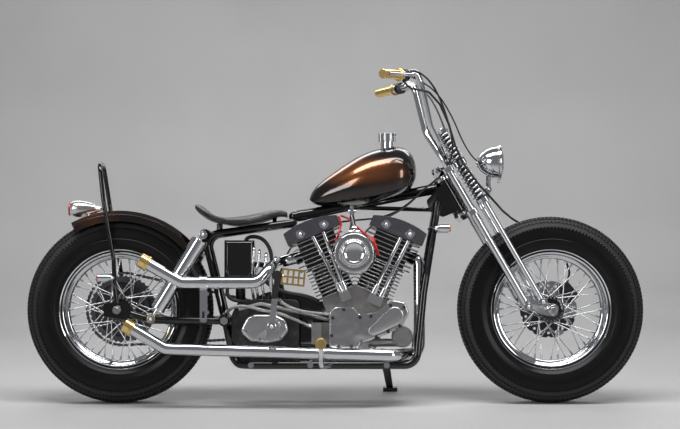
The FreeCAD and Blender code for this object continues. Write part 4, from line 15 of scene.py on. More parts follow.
import bmesh
import bpy
from mathutils import Matrix, Vector
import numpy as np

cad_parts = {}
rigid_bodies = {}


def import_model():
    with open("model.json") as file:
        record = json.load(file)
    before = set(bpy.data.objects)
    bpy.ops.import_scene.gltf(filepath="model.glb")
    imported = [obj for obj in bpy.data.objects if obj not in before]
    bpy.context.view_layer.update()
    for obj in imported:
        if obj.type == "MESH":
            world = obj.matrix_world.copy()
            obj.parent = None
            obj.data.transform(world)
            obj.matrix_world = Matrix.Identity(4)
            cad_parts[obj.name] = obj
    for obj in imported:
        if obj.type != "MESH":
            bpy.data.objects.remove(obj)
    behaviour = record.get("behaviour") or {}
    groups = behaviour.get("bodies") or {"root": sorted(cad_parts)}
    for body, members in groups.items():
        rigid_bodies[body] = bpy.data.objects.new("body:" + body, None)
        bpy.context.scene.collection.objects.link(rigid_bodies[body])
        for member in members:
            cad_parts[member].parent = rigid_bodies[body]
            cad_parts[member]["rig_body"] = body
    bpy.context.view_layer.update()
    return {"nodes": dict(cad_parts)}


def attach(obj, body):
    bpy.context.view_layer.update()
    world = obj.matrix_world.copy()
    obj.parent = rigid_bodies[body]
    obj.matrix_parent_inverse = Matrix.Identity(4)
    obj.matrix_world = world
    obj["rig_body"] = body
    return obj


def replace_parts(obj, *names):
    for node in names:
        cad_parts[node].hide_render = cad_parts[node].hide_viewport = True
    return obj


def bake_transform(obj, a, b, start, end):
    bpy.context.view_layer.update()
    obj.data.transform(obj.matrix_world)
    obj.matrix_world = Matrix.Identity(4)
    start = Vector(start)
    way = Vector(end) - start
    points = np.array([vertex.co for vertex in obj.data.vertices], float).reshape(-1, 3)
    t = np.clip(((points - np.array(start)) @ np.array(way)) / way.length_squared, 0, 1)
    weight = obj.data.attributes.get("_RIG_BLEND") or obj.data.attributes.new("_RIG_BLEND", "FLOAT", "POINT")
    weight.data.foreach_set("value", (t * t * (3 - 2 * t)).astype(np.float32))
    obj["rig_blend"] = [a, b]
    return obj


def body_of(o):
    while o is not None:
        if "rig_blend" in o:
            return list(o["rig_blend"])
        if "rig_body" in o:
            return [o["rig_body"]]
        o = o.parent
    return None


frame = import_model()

log = logging.getLogger("chopper")
at = Matrix.Translation

# Names for types

Point = Sequence[float]
Route = tuple[Point, ...]
Pairs = tuple[tuple[float, float], ...]
Triples = tuple[tuple[float, float, float], ...]
Colour = tuple[float, float, float]
Form = bmesh.types.BMesh
Piece = bpy.types.Object
Node = bpy.types.Node
Socket = bpy.types.NodeSocket

# Places in machine coordinates, directions, and the numbers that several classes share

LEAN = math.radians(5.0)
LEANED = at((0.0, -0.09023238, 0.0)) @ Matrix.Rotation(-LEAN, 4, "X")
UPRIGHT = LEANED.inverted()
HALF_BASE = 0.779
TYRE_RADIUS = 0.337
BEAD = 0.203
FORK = at((0.4086, 0.0, 0.7686)) @ Matrix.Rotation(math.radians(-30.0), 4, "Y")
CRANK = Vector((0.071, 0.0, 0.252))
CYLINDER_LEAN = math.radians(22.5)
AIR_CLEANER = Vector((0.067, -0.195, 0.538))
SIDES = (-1.0, 1.0)
RIGHT, LEFT, UP = Vector((0.0, -1.0, 0.0)), Vector((0.0, 1.0, 0.0)), Vector((0.0, 0.0, 1.0))
FORK_UP = (FORK.to_3x3() @ UP).normalized()
MERGED = 1e-5
FLAT = math.radians(0.5)
NODE_SMOOTH = 30.0
ROUNDED_FROM = math.radians(35.0)
ROUNDING_STEPS = 2
PATCH_SCALE, PATCH_RANGE = 37.0, (0.5, 0.75)
WORN_GAIN, WORN_LIFT = 1.35, 0.01


class Body(Enum):
    """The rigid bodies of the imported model."""
    CHASSIS = "chassis"
    FORK = "fork"
    FRONT_WHEEL = "front_wheel_assembly"
    REAR_WHEEL = "rear_wheel_assembly"
    STAND = "stand"


class Nodes:
    """A node tree while nodes are added to it."""

    def __init__(self, tree: bpy.types.NodeTree) -> None:
        """Starts on a tree."""
        self.tree = tree

    def feed(self, node: Node, inputs: dict[str | int, object]) -> None:
        """Fills a node's inputs.

        Args:
            node: The node.
            inputs: For an input's name or number, its value or the socket that feeds it.
        """
        for key, value in inputs.items():
            if isinstance(value, Socket):
                self.tree.links.new(value, node.inputs[key])
            else:
                node.inputs[key].default_value = value

    def add(self, kind: str, inputs: dict[str | int, object], **settings: object) -> Node:
        """Adds a node.

        Args:
            kind: Its type without the word ShaderNode.
            inputs: What feeds its inputs.
            settings: Its properties, which are set first.

        Returns:
            The node.
        """
        node = self.tree.nodes.new("ShaderNode" + kind)
        for name, value in settings.items():
            setattr(node, name, value)
        self.feed(node, inputs)
        return node

    def maths(self, operation: str, *terms: object, clamp: bool = False) -> Socket:
        """Result of an operation on values or sockets."""
        return self.add("Math", dict(enumerate(terms)), operation=operation, use_clamp=clamp).outputs[0]

    def mixed(self, share: object, first: object, second: object, blend: str = "MIX") -> Socket:
        """Mix of two colours."""
        inputs = {"Factor": share, "A": first, "B": second}
        return self.add("Mix", inputs, data_type="RGBA", blend_type=blend).outputs["Result"]

    def place(self) -> Socket:
        """Place of the shaded point in its object."""
        return self.add("TexCoord", {}).outputs["Object"]

    def noise(self, scale: object, detail: float) -> Socket:
        """Noise of so many features per metre and octaves of finer detail."""
        return self.add("TexNoise", {"Vector": self.place(), "Scale": scale, "Detail": detail}).outputs["Fac"]

    def fade(self, place: Socket, near: float, far: float, top: float = 1.0) -> Socket:
        """Soft rise with the distance from a place's origin: 0 up to near, and its top from far on."""
        distance = self.add("VectorMath", {0: place}, operation="LENGTH").outputs["Value"]
        return self.add("MapRange", {"Value": distance, "From Min": near, "From Max": far, "To Max": top},
                        interpolation_type="SMOOTHSTEP").outputs["Result"]

    def bump(self, height: Socket, strength: float, distance: float) -> Socket:
        """Normal of a surface raised by a height."""
        return self.add("Bump", {"Height": height, "Strength": strength, "Distance": distance}).outputs["Normal"]

    def background_rays(self) -> Socket:
        """Finds the rays that show the background: the camera's, and those that metal and glass send on.

        Returns:
            A socket that is 1 for those rays and 0 for the others.
        """
        path = self.add("LightPath", {}).outputs
        shown = self.maths("MAXIMUM", path["Is Camera Ray"], path["Is Glossy Ray"])
        return self.maths("MAXIMUM", shown, path["Is Transmission Ray"])


def make_surface_group() -> bpy.types.NodeTree:
    """Builds the group for handled surfaces: smudged roughness, faint colour change and fine grain.

    Returns:
        The group.
    """
    tree = bpy.data.node_groups.new("handled_surface", "ShaderNodeTree")
    sockets = {"INPUT": {"Color": "Color", "Worn Color": "Color", "Wear": "Float", "Roughness": "Float",
                         "Smudge": "Float", "Smudge Scale": "Float", "Grain Scale": "Float"},
               "OUTPUT": {"Color": "Color", "Roughness": "Float", "Height": "Float"}}
    for way, kinds in sockets.items():
        for label, kind in kinds.items():
            tree.interface.new_socket(name=label, in_out=way, socket_type="NodeSocket" + kind)
    nodes, given = Nodes(tree), tree.nodes.new("NodeGroupInput").outputs
    smudge = nodes.maths("SUBTRACT", nodes.noise(given["Smudge Scale"], 4.0), 0.5)
    low, high = PATCH_RANGE
    patches = nodes.add("MapRange", {"Value": nodes.noise(PATCH_SCALE, 5.0), "From Min": low, "From Max": high})
    worn = nodes.maths("MULTIPLY", patches.outputs["Result"], given["Wear"])
    nodes.feed(tree.nodes.new("NodeGroupOutput"), {
        "Color": nodes.mixed(worn, given["Color"], given["Worn Color"]),
        "Roughness": nodes.maths("MULTIPLY_ADD", smudge, given["Smudge"], given["Roughness"], clamp=True),
        "Height": nodes.noise(given["Grain Scale"], 2.0)})
    return tree


SURFACE = make_surface_group()


@dataclass(frozen=True)
class Finish:
    """One finish of the machine, made as a node material on object coordinates."""
    name: str
    slot: str
    colour: Colour
    roughness: float
    metallic: float = 0.0
    coat: float = 0.0
    coat_roughness: float = 0.03
    worn: Optional[Colour] = None
    wear: float = 0.25
    smudge: float = 0.12
    smudge_scale: float = 14.0
    grain_scale: float = 600.0
    bump: float = 0.0
    bump_distance: float = 0.0004
    sheen: float = 0.0
    specular: float = 0.5

    def make(self) -> bpy.types.Material:
        """Builds the material, or returns the one that is there.

        Returns:
            The material.
        """
        label = self.name + "_finish"
        if label in bpy.data.materials:
            return bpy.data.materials[label]
        material = bpy.data.materials.new(label)
        material.use_nodes = True
        nodes = Nodes(material.node_tree)
        worn = self.worn or tuple(min(1.0, part * WORN_GAIN + WORN_LIFT) for part in self.colour)
        surface = nodes.add("Group", {
            "Color": (*self.colour, 1.0), "Worn Color": (*worn, 1.0), "Wear": self.wear, "Roughness": self.roughness,
            "Smudge": self.smudge, "Smudge Scale": self.smudge_scale, "Grain Scale": self.grain_scale},
            node_tree=SURFACE).outputs
        grain = {"Normal": nodes.bump(surface["Height"], self.bump, self.bump_distance)} if self.bump else {}
        nodes.feed(nodes.tree.nodes["Principled BSDF"], {
            "Base Color": surface["Color"], "Roughness": surface["Roughness"], "Metallic": self.metallic,
            "Coat Weight": self.coat, "Coat Roughness": self.coat_roughness, "Sheen Weight": self.sheen,
            "Specular IOR Level": self.specular, **grain, **self.special(nodes, surface["Color"])})
        return material

    def special(self, nodes: Nodes, colour: Socket) -> dict[str, object]:
        """What a special finish feeds to the shader instead; a plain one has nothing."""
        return {}


@dataclass(frozen=True)
class PaintedShadeCandyFinish(Finish):
    """Metal-flake paint with painted light: away from a painted highlight in the middle of the panel it covers, the
    colour darkens as painted shade.
    """
    metallic: float = 0.75
    coat: float = 1.0
    coat_roughness: float = 0.02
    wear: float = 0.2
    smudge: float = 0.03
    # centre and reach place the painted highlight; beyond the bright share of the reach, the colour fades into the
    # painted shade colour.
    centre: Point = (0.0, 0.0, 0.0)
    reach: Point = (0.1, 0.1, 0.1)
    bright: float = 0.35
    painted_shade: Colour = (0.010, 0.004, 0.002)
    flakes: float = 1400.0
    glint: float = 0.45

    def special(self, nodes: Nodes, colour: Socket) -> dict[str, object]:
        """Paints the highlight and the shade by fading the colour with the distance from the panel's middle, and adds
        the flakes.

        Args:
            nodes: The material's nodes.
            colour: The handled surface's colour.

        Returns:
            The shader's colour.
        """
        place = nodes.place()
        panel = nodes.add("Mapping", {"Vector": place, "Location": LEANED @ Vector(self.centre),
                                      "Rotation": (-LEAN, 0.0, 0.0), "Scale": self.reach}, vector_type="TEXTURE")
        # Painted highlight and painted shade: full colour near the middle, darker further out.
        paint = nodes.mixed(nodes.fade(panel.outputs["Vector"], self.bright, 1.0), colour, (*self.painted_shade, 1.0))
        flakes = nodes.add("TexVoronoi", {"Vector": place, "Scale": self.flakes}).outputs["Color"]
        return {"Base Color": nodes.mixed(self.glint, paint, flakes, "OVERLAY")}


@dataclass(frozen=True)
class LensFinish(Finish):
    """A tinted glass or plastic lens with moulded ribs."""
    transmission: float = 0.35
    rib_scale: float = 160.0
    rib_bump: float = 0.35
    rib_depth: float = 0.001

    def special(self, nodes: Nodes, colour: Socket) -> dict[str, object]:
        """Lets light through and adds ribs."""
        ribs = nodes.add("TexWave", {"Vector": nodes.place(), "Scale": self.rib_scale}, bands_direction="Y")
        return {"Transmission Weight": self.transmission,
                "Normal": nodes.bump(ribs.outputs["Fac"], self.rib_bump, self.rib_depth)}


@dataclass(frozen=True)
class BraidFinish(Finish):
    """Woven wire over a hose, as two crossed sets of strands."""
    strand_scale: float = 160.0
    strand_turn: float = math.radians(35.0)
    weave_bump: float = 0.8
    weave_depth: float = 0.0012

    def special(self, nodes: Nodes, colour: Socket) -> dict[str, object]:
        """Adds the strands.

        Args:
            nodes: The material's nodes.
            colour: The handled surface's colour, which is not used.

        Returns:
            The shader's normal.
        """
        strands = []
        for turn in (self.strand_turn, -self.strand_turn):
            way = nodes.add("Mapping", {"Vector": nodes.place(), "Rotation": (0.0, turn, 0.0)}).outputs["Vector"]
            strands.append(nodes.add("TexWave", {"Vector": way, "Scale": self.strand_scale}).outputs["Fac"])
        return {"Normal": nodes.bump(nodes.maths("MAXIMUM", *strands), self.weave_bump, self.weave_depth)}


CHROME = Finish("polished_chrome", "chrome", (0.66, 0.67, 0.69), 0.05, metallic=1.0, smudge=0.05, wear=0.08)
POLISHED_ALLOY = Finish("polished_alloy", "polished_alloy", (0.66, 0.66, 0.66), 0.22, metallic=1.0, smudge=0.14,
                        worn=(0.50, 0.50, 0.50), wear=0.35, smudge_scale=30.0)
CAST_ALLOY = Finish("cast_alloy", "cast_alloy", (0.34, 0.33, 0.32), 0.42, metallic=1.0, smudge=0.2,
                    worn=(0.20, 0.19, 0.18), wear=0.5, bump=0.5, grain_scale=420.0, bump_distance=0.0007)
# Gearbox alloy: partly its own dark finish, partly painted shade, since the gearbox sits in shadow.
DARK_AND_SHADED_CAST = Finish("dark_and_shaded_cast_alloy", "cast_alloy", (0.055, 0.053, 0.052), 0.42, metallic=0.85, smudge=0.2,
                   worn=(0.16, 0.155, 0.15), wear=0.5, bump=0.5, grain_scale=420.0, bump_distance=0.0007)
COVER_ALLOY = Finish("buffed_cover_alloy", "polished_alloy", (0.58, 0.58, 0.59), 0.2, metallic=1.0, smudge=0.16,
                     worn=(0.40, 0.40, 0.41), wear=0.4, smudge_scale=24.0, bump=1.0, grain_scale=9.0,
                     bump_distance=0.012)
SATIN_GREY = Finish("satin_grey", "dark_satin", (0.13, 0.13, 0.145), 0.26, metallic=0.8, coat=0.3, smudge=0.14,
                    worn=(0.20, 0.20, 0.21), wear=0.3, bump=1.0, grain_scale=8.0, bump_distance=0.008)
BLACK_ENAMEL = Finish("black_enamel", "black_enamel", (0.003, 0.003, 0.0034), 0.1, coat=0.6, smudge=0.05, wear=0.1,
                      specular=0.35)
BLACK_SATIN = Finish("black_satin", "black_enamel", (0.012, 0.012, 0.013), 0.38, coat=0.2, smudge=0.1, wear=0.2)
BLACK_FINS = Finish("black_fins", "black_fins", (0.016, 0.016, 0.017), 0.36, metallic=0.2, coat=0.35, smudge=0.15,
                    worn=(0.09, 0.085, 0.08), wear=0.35, bump=0.2, grain_scale=300.0)
FIN_EDGE = Finish("machined_fin_edge", "black_fins", (0.60, 0.60, 0.59), 0.27, metallic=1.0, smudge=0.2, wear=0.35,
                  worn=(0.25, 0.24, 0.23), smudge_scale=40.0)
DARK_CHROME = Finish("dark_chrome", "chrome", (0.48, 0.48, 0.49), 0.22, metallic=1.0, smudge=0.08, wear=0.1)
BRASS = Finish("polished_brass", "brass", (0.85, 0.60, 0.24), 0.24, metallic=1.0, smudge=0.15,
               worn=(0.50, 0.33, 0.11), wear=0.4, smudge_scale=40.0)
STEEL = Finish("bright_steel", "steel", (0.45, 0.45, 0.46), 0.25, metallic=1.0, smudge=0.15, wear=0.3)
DARK_STEEL = Finish("dark_steel", "steel", (0.12, 0.12, 0.125), 0.32, metallic=1.0, smudge=0.2, wear=0.4)
TYRE_RUBBER = Finish("tyre_rubber", "tyre_rubber", (0.004, 0.004, 0.0042), 0.32, smudge=0.12, wear=0.2,
                     worn=(0.008, 0.008, 0.0085), bump=0.1, grain_scale=900.0, specular=0.2)
# Rib-top rubber, lighter than the sidewalls: partly scuffed tread, partly a painted highlight where the ribs catch the
# light.
WORN_AND_LIT_TREAD = Finish("worn_and_lit_tread", "tyre_rubber", (0.017, 0.0168, 0.0165), 0.55, smudge=0.1, wear=0.3,
                      worn=(0.028, 0.027, 0.026), bump=0.2, grain_scale=700.0, specular=0.35)
BLACK_RUBBER = Finish("black_rubber", "black_rubber", (0.014, 0.014, 0.015), 0.5, smudge=0.1, wear=0.2)
RED_RUBBER = Finish("red_silicone", "black_rubber", (0.55, 0.02, 0.015), 0.35, smudge=0.1, wear=0.2)
LEATHER = Finish("black_leather", "black_leather", (0.012, 0.0115, 0.012), 0.36, smudge=0.16, wear=0.35, bump=0.7,
                 worn=(0.03, 0.027, 0.025), grain_scale=520.0, bump_distance=0.0006, sheen=0.1)
RED_LENS = LensFinish("red_lens", "red_lens", (0.55, 0.008, 0.008), 0.08, coat=0.6)
AMBER_LENS = LensFinish("amber_lens", "red_lens", (0.75, 0.22, 0.01), 0.08, coat=0.6)
CLEAR_LENS = LensFinish("clear_lens", "clear_glass", (0.95, 0.97, 1.0), 0.03, transmission=1.0, rib_scale=60.0)
REFLECTOR = Finish("lamp_reflector", "chrome", (0.9, 0.9, 0.9), 0.08, metallic=1.0, smudge=0.03, wear=0.0)
PALE_PLATE = Finish("pale_plate", "clear_glass", (0.78, 0.78, 0.78), 0.35, smudge=0.08, wear=0.1)
BRAID = BraidFinish("braided_hose", "steel", (0.52, 0.51, 0.50), 0.32, metallic=1.0, smudge=0.1)
# Both paints carry a painted highlight in the middle and painted shade towards the edges.
TANK_PAINT_AND_SHADE = PaintedShadeCandyFinish("tank_candy_painted_shade", "candy_copper", (0.20, 0.062, 0.014), 0.2, centre=(0.08, 0.0, 0.835),
                         reach=(0.23, 0.50, 0.066))
GUARD_PAINT_AND_SHADE = PaintedShadeCandyFinish("mudguard_candy_painted_shade", "candy_copper", (0.12, 0.040, 0.012), 0.2, centre=(-0.86, 0.0, 0.66),
                          reach=(0.14, 0.12, 0.09))


# Mesh helpers

def in_scene(name: str, data: bpy.types.ID) -> Piece:
    """Makes an object of some data and links it to the scene.

    Args:
        name: The object's name.
        data: Its mesh, curve, camera or light.

    Returns:
        The object.
    """
    piece = bpy.data.objects.new(name, data)
    bpy.context.scene.collection.objects.link(piece)
    return piece


def form_of(data: bpy.types.Mesh) -> Form:
    """Opens a mesh as a form.

    Args:
        data: The mesh.

    Returns:
        The form.
    """
    form = bmesh.new()
    form.from_mesh(data)
    return form


def written(form: Form, data: bpy.types.Mesh) -> bpy.types.Mesh:
    """Writes a form to a mesh and frees the form.

    Args:
        form: The form.
        data: The mesh.

    Returns:
        The mesh.
    """
    form.to_mesh(data)
    form.free()
    return data


def new_object(name: str, form: Form, finish: Finish, body: Optional[Body] = Body.CHASSIS, smooth: float = 35.0,
               upright: bool = True) -> Piece:
    """Turns a form into a finished piece that rides on a body.

    Args:
        name: The piece's name.
        form: The form, which is freed.
        finish: Its finish.
        body: The body that it rides on, or None where it bends between two.
        smooth: Largest angle in degrees that is shaded smooth.
        upright: Whether the form is in machine coordinates and still has to be leaned.

    Returns:
        The object.
    """
    if upright:
        moved(form, LEANED)
    data = written(form, bpy.data.meshes.new(name))
    data.shade_smooth()
    data.set_sharp_from_angle(angle=math.radians(smooth))
    data.materials.append(finish.make())
    piece = in_scene(name, data)
    if body:
        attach(piece, body.value)
    log.info("made %s", name)
    return piece


def dressed(node: str, finish: Finish, edge: float) -> Piece:
    """Stands a merged, smoothly shaded copy of a CAD node in the node's place.

    Args:
        node: The CAD node.
        finish: Finish of the copy.
        edge: Width of the rounding on its sharp edges, or 0 for none.

    Returns:
        The copy.
    """
    source = frame["nodes"][node]
    form = form_of(source.data)
    bmesh.ops.remove_doubles(form, verts=form.verts, dist=MERGED)
    bmesh.ops.dissolve_degenerate(form, dist=MERGED, edges=form.edges)
    bmesh.ops.dissolve_limit(form, angle_limit=FLAT, verts=form.verts, edges=form.edges)
    piece = new_object(node + "_finished", form, finish, Body(body_of(source)[0]), NODE_SMOOTH, upright=False)
    if edge:
        rounding = piece.modifiers.new("edges", "BEVEL")
        rounding.width = edge
        rounding.segments = ROUNDING_STEPS
        rounding.limit_method = "ANGLE"
        rounding.angle_limit = ROUNDED_FROM
        rounding.harden_normals = False
    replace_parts(piece, node)
    return piece


def apply_modifiers(piece: Piece) -> None:
    """Applies every modifier of a piece to its mesh.

    Args:
        piece: The piece.
    """
    graph = bpy.context.evaluated_depsgraph_get()
    graph.update()
    data = bpy.data.meshes.new_from_object(piece.evaluated_get(graph), preserve_all_data_layers=True, depsgraph=graph)
    piece.modifiers.clear()
    piece.data = data


def accented(piece: Piece, finish: Finish, chosen: Callable[[Vector, Vector], bool]) -> None:
    """Gives some faces of a piece a second finish.

    Args:
        piece: The piece.
        finish: The second finish.
        chosen: Takes a face's middle and normal in the upright machine's frame, and says whether it changes.
    """
    turn = UPRIGHT.to_3x3()
    piece.data.materials.append(finish.make())
    last = len(piece.data.materials) - 1
    for face in piece.data.polygons:
        if chosen(UPRIGHT @ face.center, turn @ face.normal):
            face.material_index = last


def split(piece: Piece, height: float) -> None:
    """Cuts a piece's faces at a height, so that a second finish can start there.

    Args:
        piece: The piece.
        height: The height in the upright machine's frame.
    """
    form = form_of(piece.data)
    bmesh.ops.bisect_plane(form, geom=form.verts[:] + form.edges[:] + form.faces[:], dist=MERGED,
                           plane_co=LEANED @ (UP * height), plane_no=LEANED.to_3x3() @ UP)
    written(form, piece.data)


def moved(form: Form, place: Matrix) -> Form:
    """Moves a form to a place and returns it."""
    bmesh.ops.transform(form, matrix=place, verts=form.verts)
    return form


def merged(forms: Sequence[Form]) -> Form:
    """Joins several forms in one and frees them.

    Args:
        forms: The forms.

    Returns:
        One form with all their faces.
    """
    whole = bmesh.new()
    for form in forms:
        data = written(form, bpy.data.meshes.new("joined"))
        whole.from_mesh(data)
        bpy.data.meshes.remove(data)
    return whole


def spun(outline: Sequence[tuple[float, float]], steps: int, closed: bool = True) -> Form:
    """Spins an outline about the Y axis.

    Args:
        outline: Points as (offset along Y, radius).
        steps: Steps of a full turn.
        closed: Whether the outline's last point joins its first.

    Returns:
        The form, about the origin.
    """
    form = bmesh.new()
    corners = [form.verts.new((0.0, side, radius)) for side, radius in outline]
    for start, end in list(zip(corners, corners[1:])) + ([(corners[-1], corners[0])] if closed else []):
        form.edges.new((start, end))
    turned(form, steps)
    bmesh.ops.recalc_face_normals(form, faces=form.faces)
    return form


def turned(form: Form, steps: int) -> None:
    """Spins a form's wires about the Y axis into a closed skin."""
    bmesh.ops.spin(form, geom=form.verts[:] + form.edges[:], cent=(0, 0, 0), axis=(0, 1, 0), dvec=(0, 0, 0),
                   angle=math.tau, steps=steps, use_merge=True, use_duplicate=False)
    bmesh.ops.remove_doubles(form, verts=form.verts, dist=1e-6)


def tube_form(points: Sequence[Point], radius: float) -> Form:
    """Round tube along a smooth curve that the points steer.

    Args:
        points: The route's points in machine coordinates.
        radius: The tube's radius.

    Returns:
        The form.
    """
    data = bpy.data.curves.new("route", "CURVE")
    data.dimensions = "3D"
    spline = data.splines.new("NURBS")
    spline.points.add(len(points) - 1)
    for corner, point in zip(spline.points, points):
        corner.co = (*point, 1.0)
    spline.order_u = 3
    spline.use_endpoint_u = True
    spline.resolution_u = 8
    data.bevel_depth = radius
    data.bevel_resolution = 2
    data.use_fill_caps = True
    route = in_scene("route", data)
    graph = bpy.context.evaluated_depsgraph_get()
    graph.update()
    skin = bpy.data.meshes.new_from_object(route.evaluated_get(graph))
    form = form_of(skin)
    bpy.data.objects.remove(route)
    bpy.data.curves.remove(data)
    bpy.data.meshes.remove(skin)
    return form


def aimed(point: Point, direction: Point) -> Matrix:
    """Place at a point whose Z axis looks along a direction."""
    return at(Vector(point)) @ UP.rotation_difference(Vector(direction)).to_matrix().to_4x4()


def ring_points(centre: Point, radius: float, count: int, start: float = 0.0) -> list[Vector]:
    """Points evenly round a circle that faces sideways; start is the first one's share of a step."""
    angles = [math.tau * (index + start) / count for index in range(count)]
    return [Vector(centre) + Vector((math.cos(angle), 0.0, math.sin(angle))) * radius for angle in angles]


def add_disc(form: Form, place: Matrix, radius: float, height: float, sides: int, top: Optional[float] = None) -> None:
    """Adds a capped disc or cone that stands on a place.

    Args:
        form: The form that gets it.
        place: The middle of its foot, with Z along its axis.
        radius: Its radius at the foot.
        height: Its height.
        sides: Its number of sides.
        top: Its radius at the top, if that differs.
    """
    bmesh.ops.create_cone(form, cap_ends=True, segments=sides, radius1=radius, radius2=radius if top is None else top,
                          depth=height, matrix=place @ at((0.0, 0.0, height / 2)))


def add_rod(form: Form, start: Point, end: Point, radius: float, sides: int, tip: Optional[float] = None) -> None:
    """Adds a capped round rod or cone between two points; tip is its radius at the end."""
    run = Vector(end) - Vector(start)
    add_disc(form, aimed(start, run), radius, run.length, sides, tip)


def add_ball(form: Form, place: Matrix, radius: float, columns: int, rows: int) -> None:
    """Adds a ball at a place."""
    bmesh.ops.create_uvsphere(form, u_segments=columns, v_segments=rows, radius=radius, matrix=place)


def add_bolt(form: Form, point: Point, direction: Point, radius: float) -> None:
    """Adds a hexagon bolt head on a washer.

    Args:
        form: The form that gets it.
        point: Middle of the washer's foot.
        direction: Where the head points.
        radius: Half the head's width over its corners.
    """
    place = aimed(point, direction)
    add_disc(form, place, radius * 1.25, radius * 0.3, 20)
    add_disc(form, place @ at((0, 0, radius * 0.3)), radius, radius * 0.8, 6)


def add_acorn(form: Form, point: Point, direction: Point, radius: float) -> None:
    """Adds a domed nut on a dished washer.

    Args:
        form: The form that gets it.
        point: Middle of the washer's foot.
        direction: Where the dome points.
        radius: Half the nut's width over its corners.
    """
    place = aimed(point, direction)
    add_disc(form, place, radius * 1.6, radius * 0.35, 28, radius * 1.45)
    add_disc(form, place @ at((0, 0, radius * 0.35)), radius, radius * 0.7, 6)
    dome = place @ at((0, 0, radius * 1.05)) @ Matrix.Diagonal((1, 1, 0.8, 1))
    add_ball(form, dome, radius * 0.82, 20, 10)


def cap_screw(point: Point, direction: Point, radius: float) -> Form:
    """Round screw head with a hexagon socket.

    Args:
        point: Middle of its foot.
        direction: Where it points.
        radius: Its radius.

    Returns:
        The form.
    """
    head = bmesh.new()
    add_disc(head, Matrix(), radius, radius * 1.1, 18)
    top = max(head.faces, key=lambda face: face.calc_center_median().z)
    bmesh.ops.inset_region(head, faces=[top], thickness=radius * 0.42, use_even_offset=True)
    sunk = bmesh.ops.extrude_discrete_faces(head, faces=[top])["faces"]
    bmesh.ops.translate(head, vec=(0.0, 0.0, -radius * 0.6), verts=sunk[0].verts)
    return moved(head, aimed(point, direction))


def at_cylinder(front: bool) -> Matrix:
    """Place of a cylinder's frame: Z up its bore from the crank."""
    return at(CRANK) @ Matrix.Rotation(CYLINDER_LEAN if front else -CYLINDER_LEAN, 4, "Y")


@dataclass
class WheelPart:
    """What the pieces of one wheel have in common."""
    front: bool

    @property
    def name(self) -> str:
        """The wheel's name."""
        return "front" if self.front else "rear"

    @property
    def body(self) -> Body:
        """The body that turns with the wheel."""
        return Body.FRONT_WHEEL if self.front else Body.REAR_WHEEL

    @property
    def ahead(self) -> float:
        """How far ahead of the machine's middle the axle is."""
        return HALF_BASE if self.front else -HALF_BASE

    @property
    def place(self) -> Matrix:
        """Place of the wheel: its axle along Y through the wheel's middle."""
        return at((self.ahead, 0.0, TYRE_RADIUS))


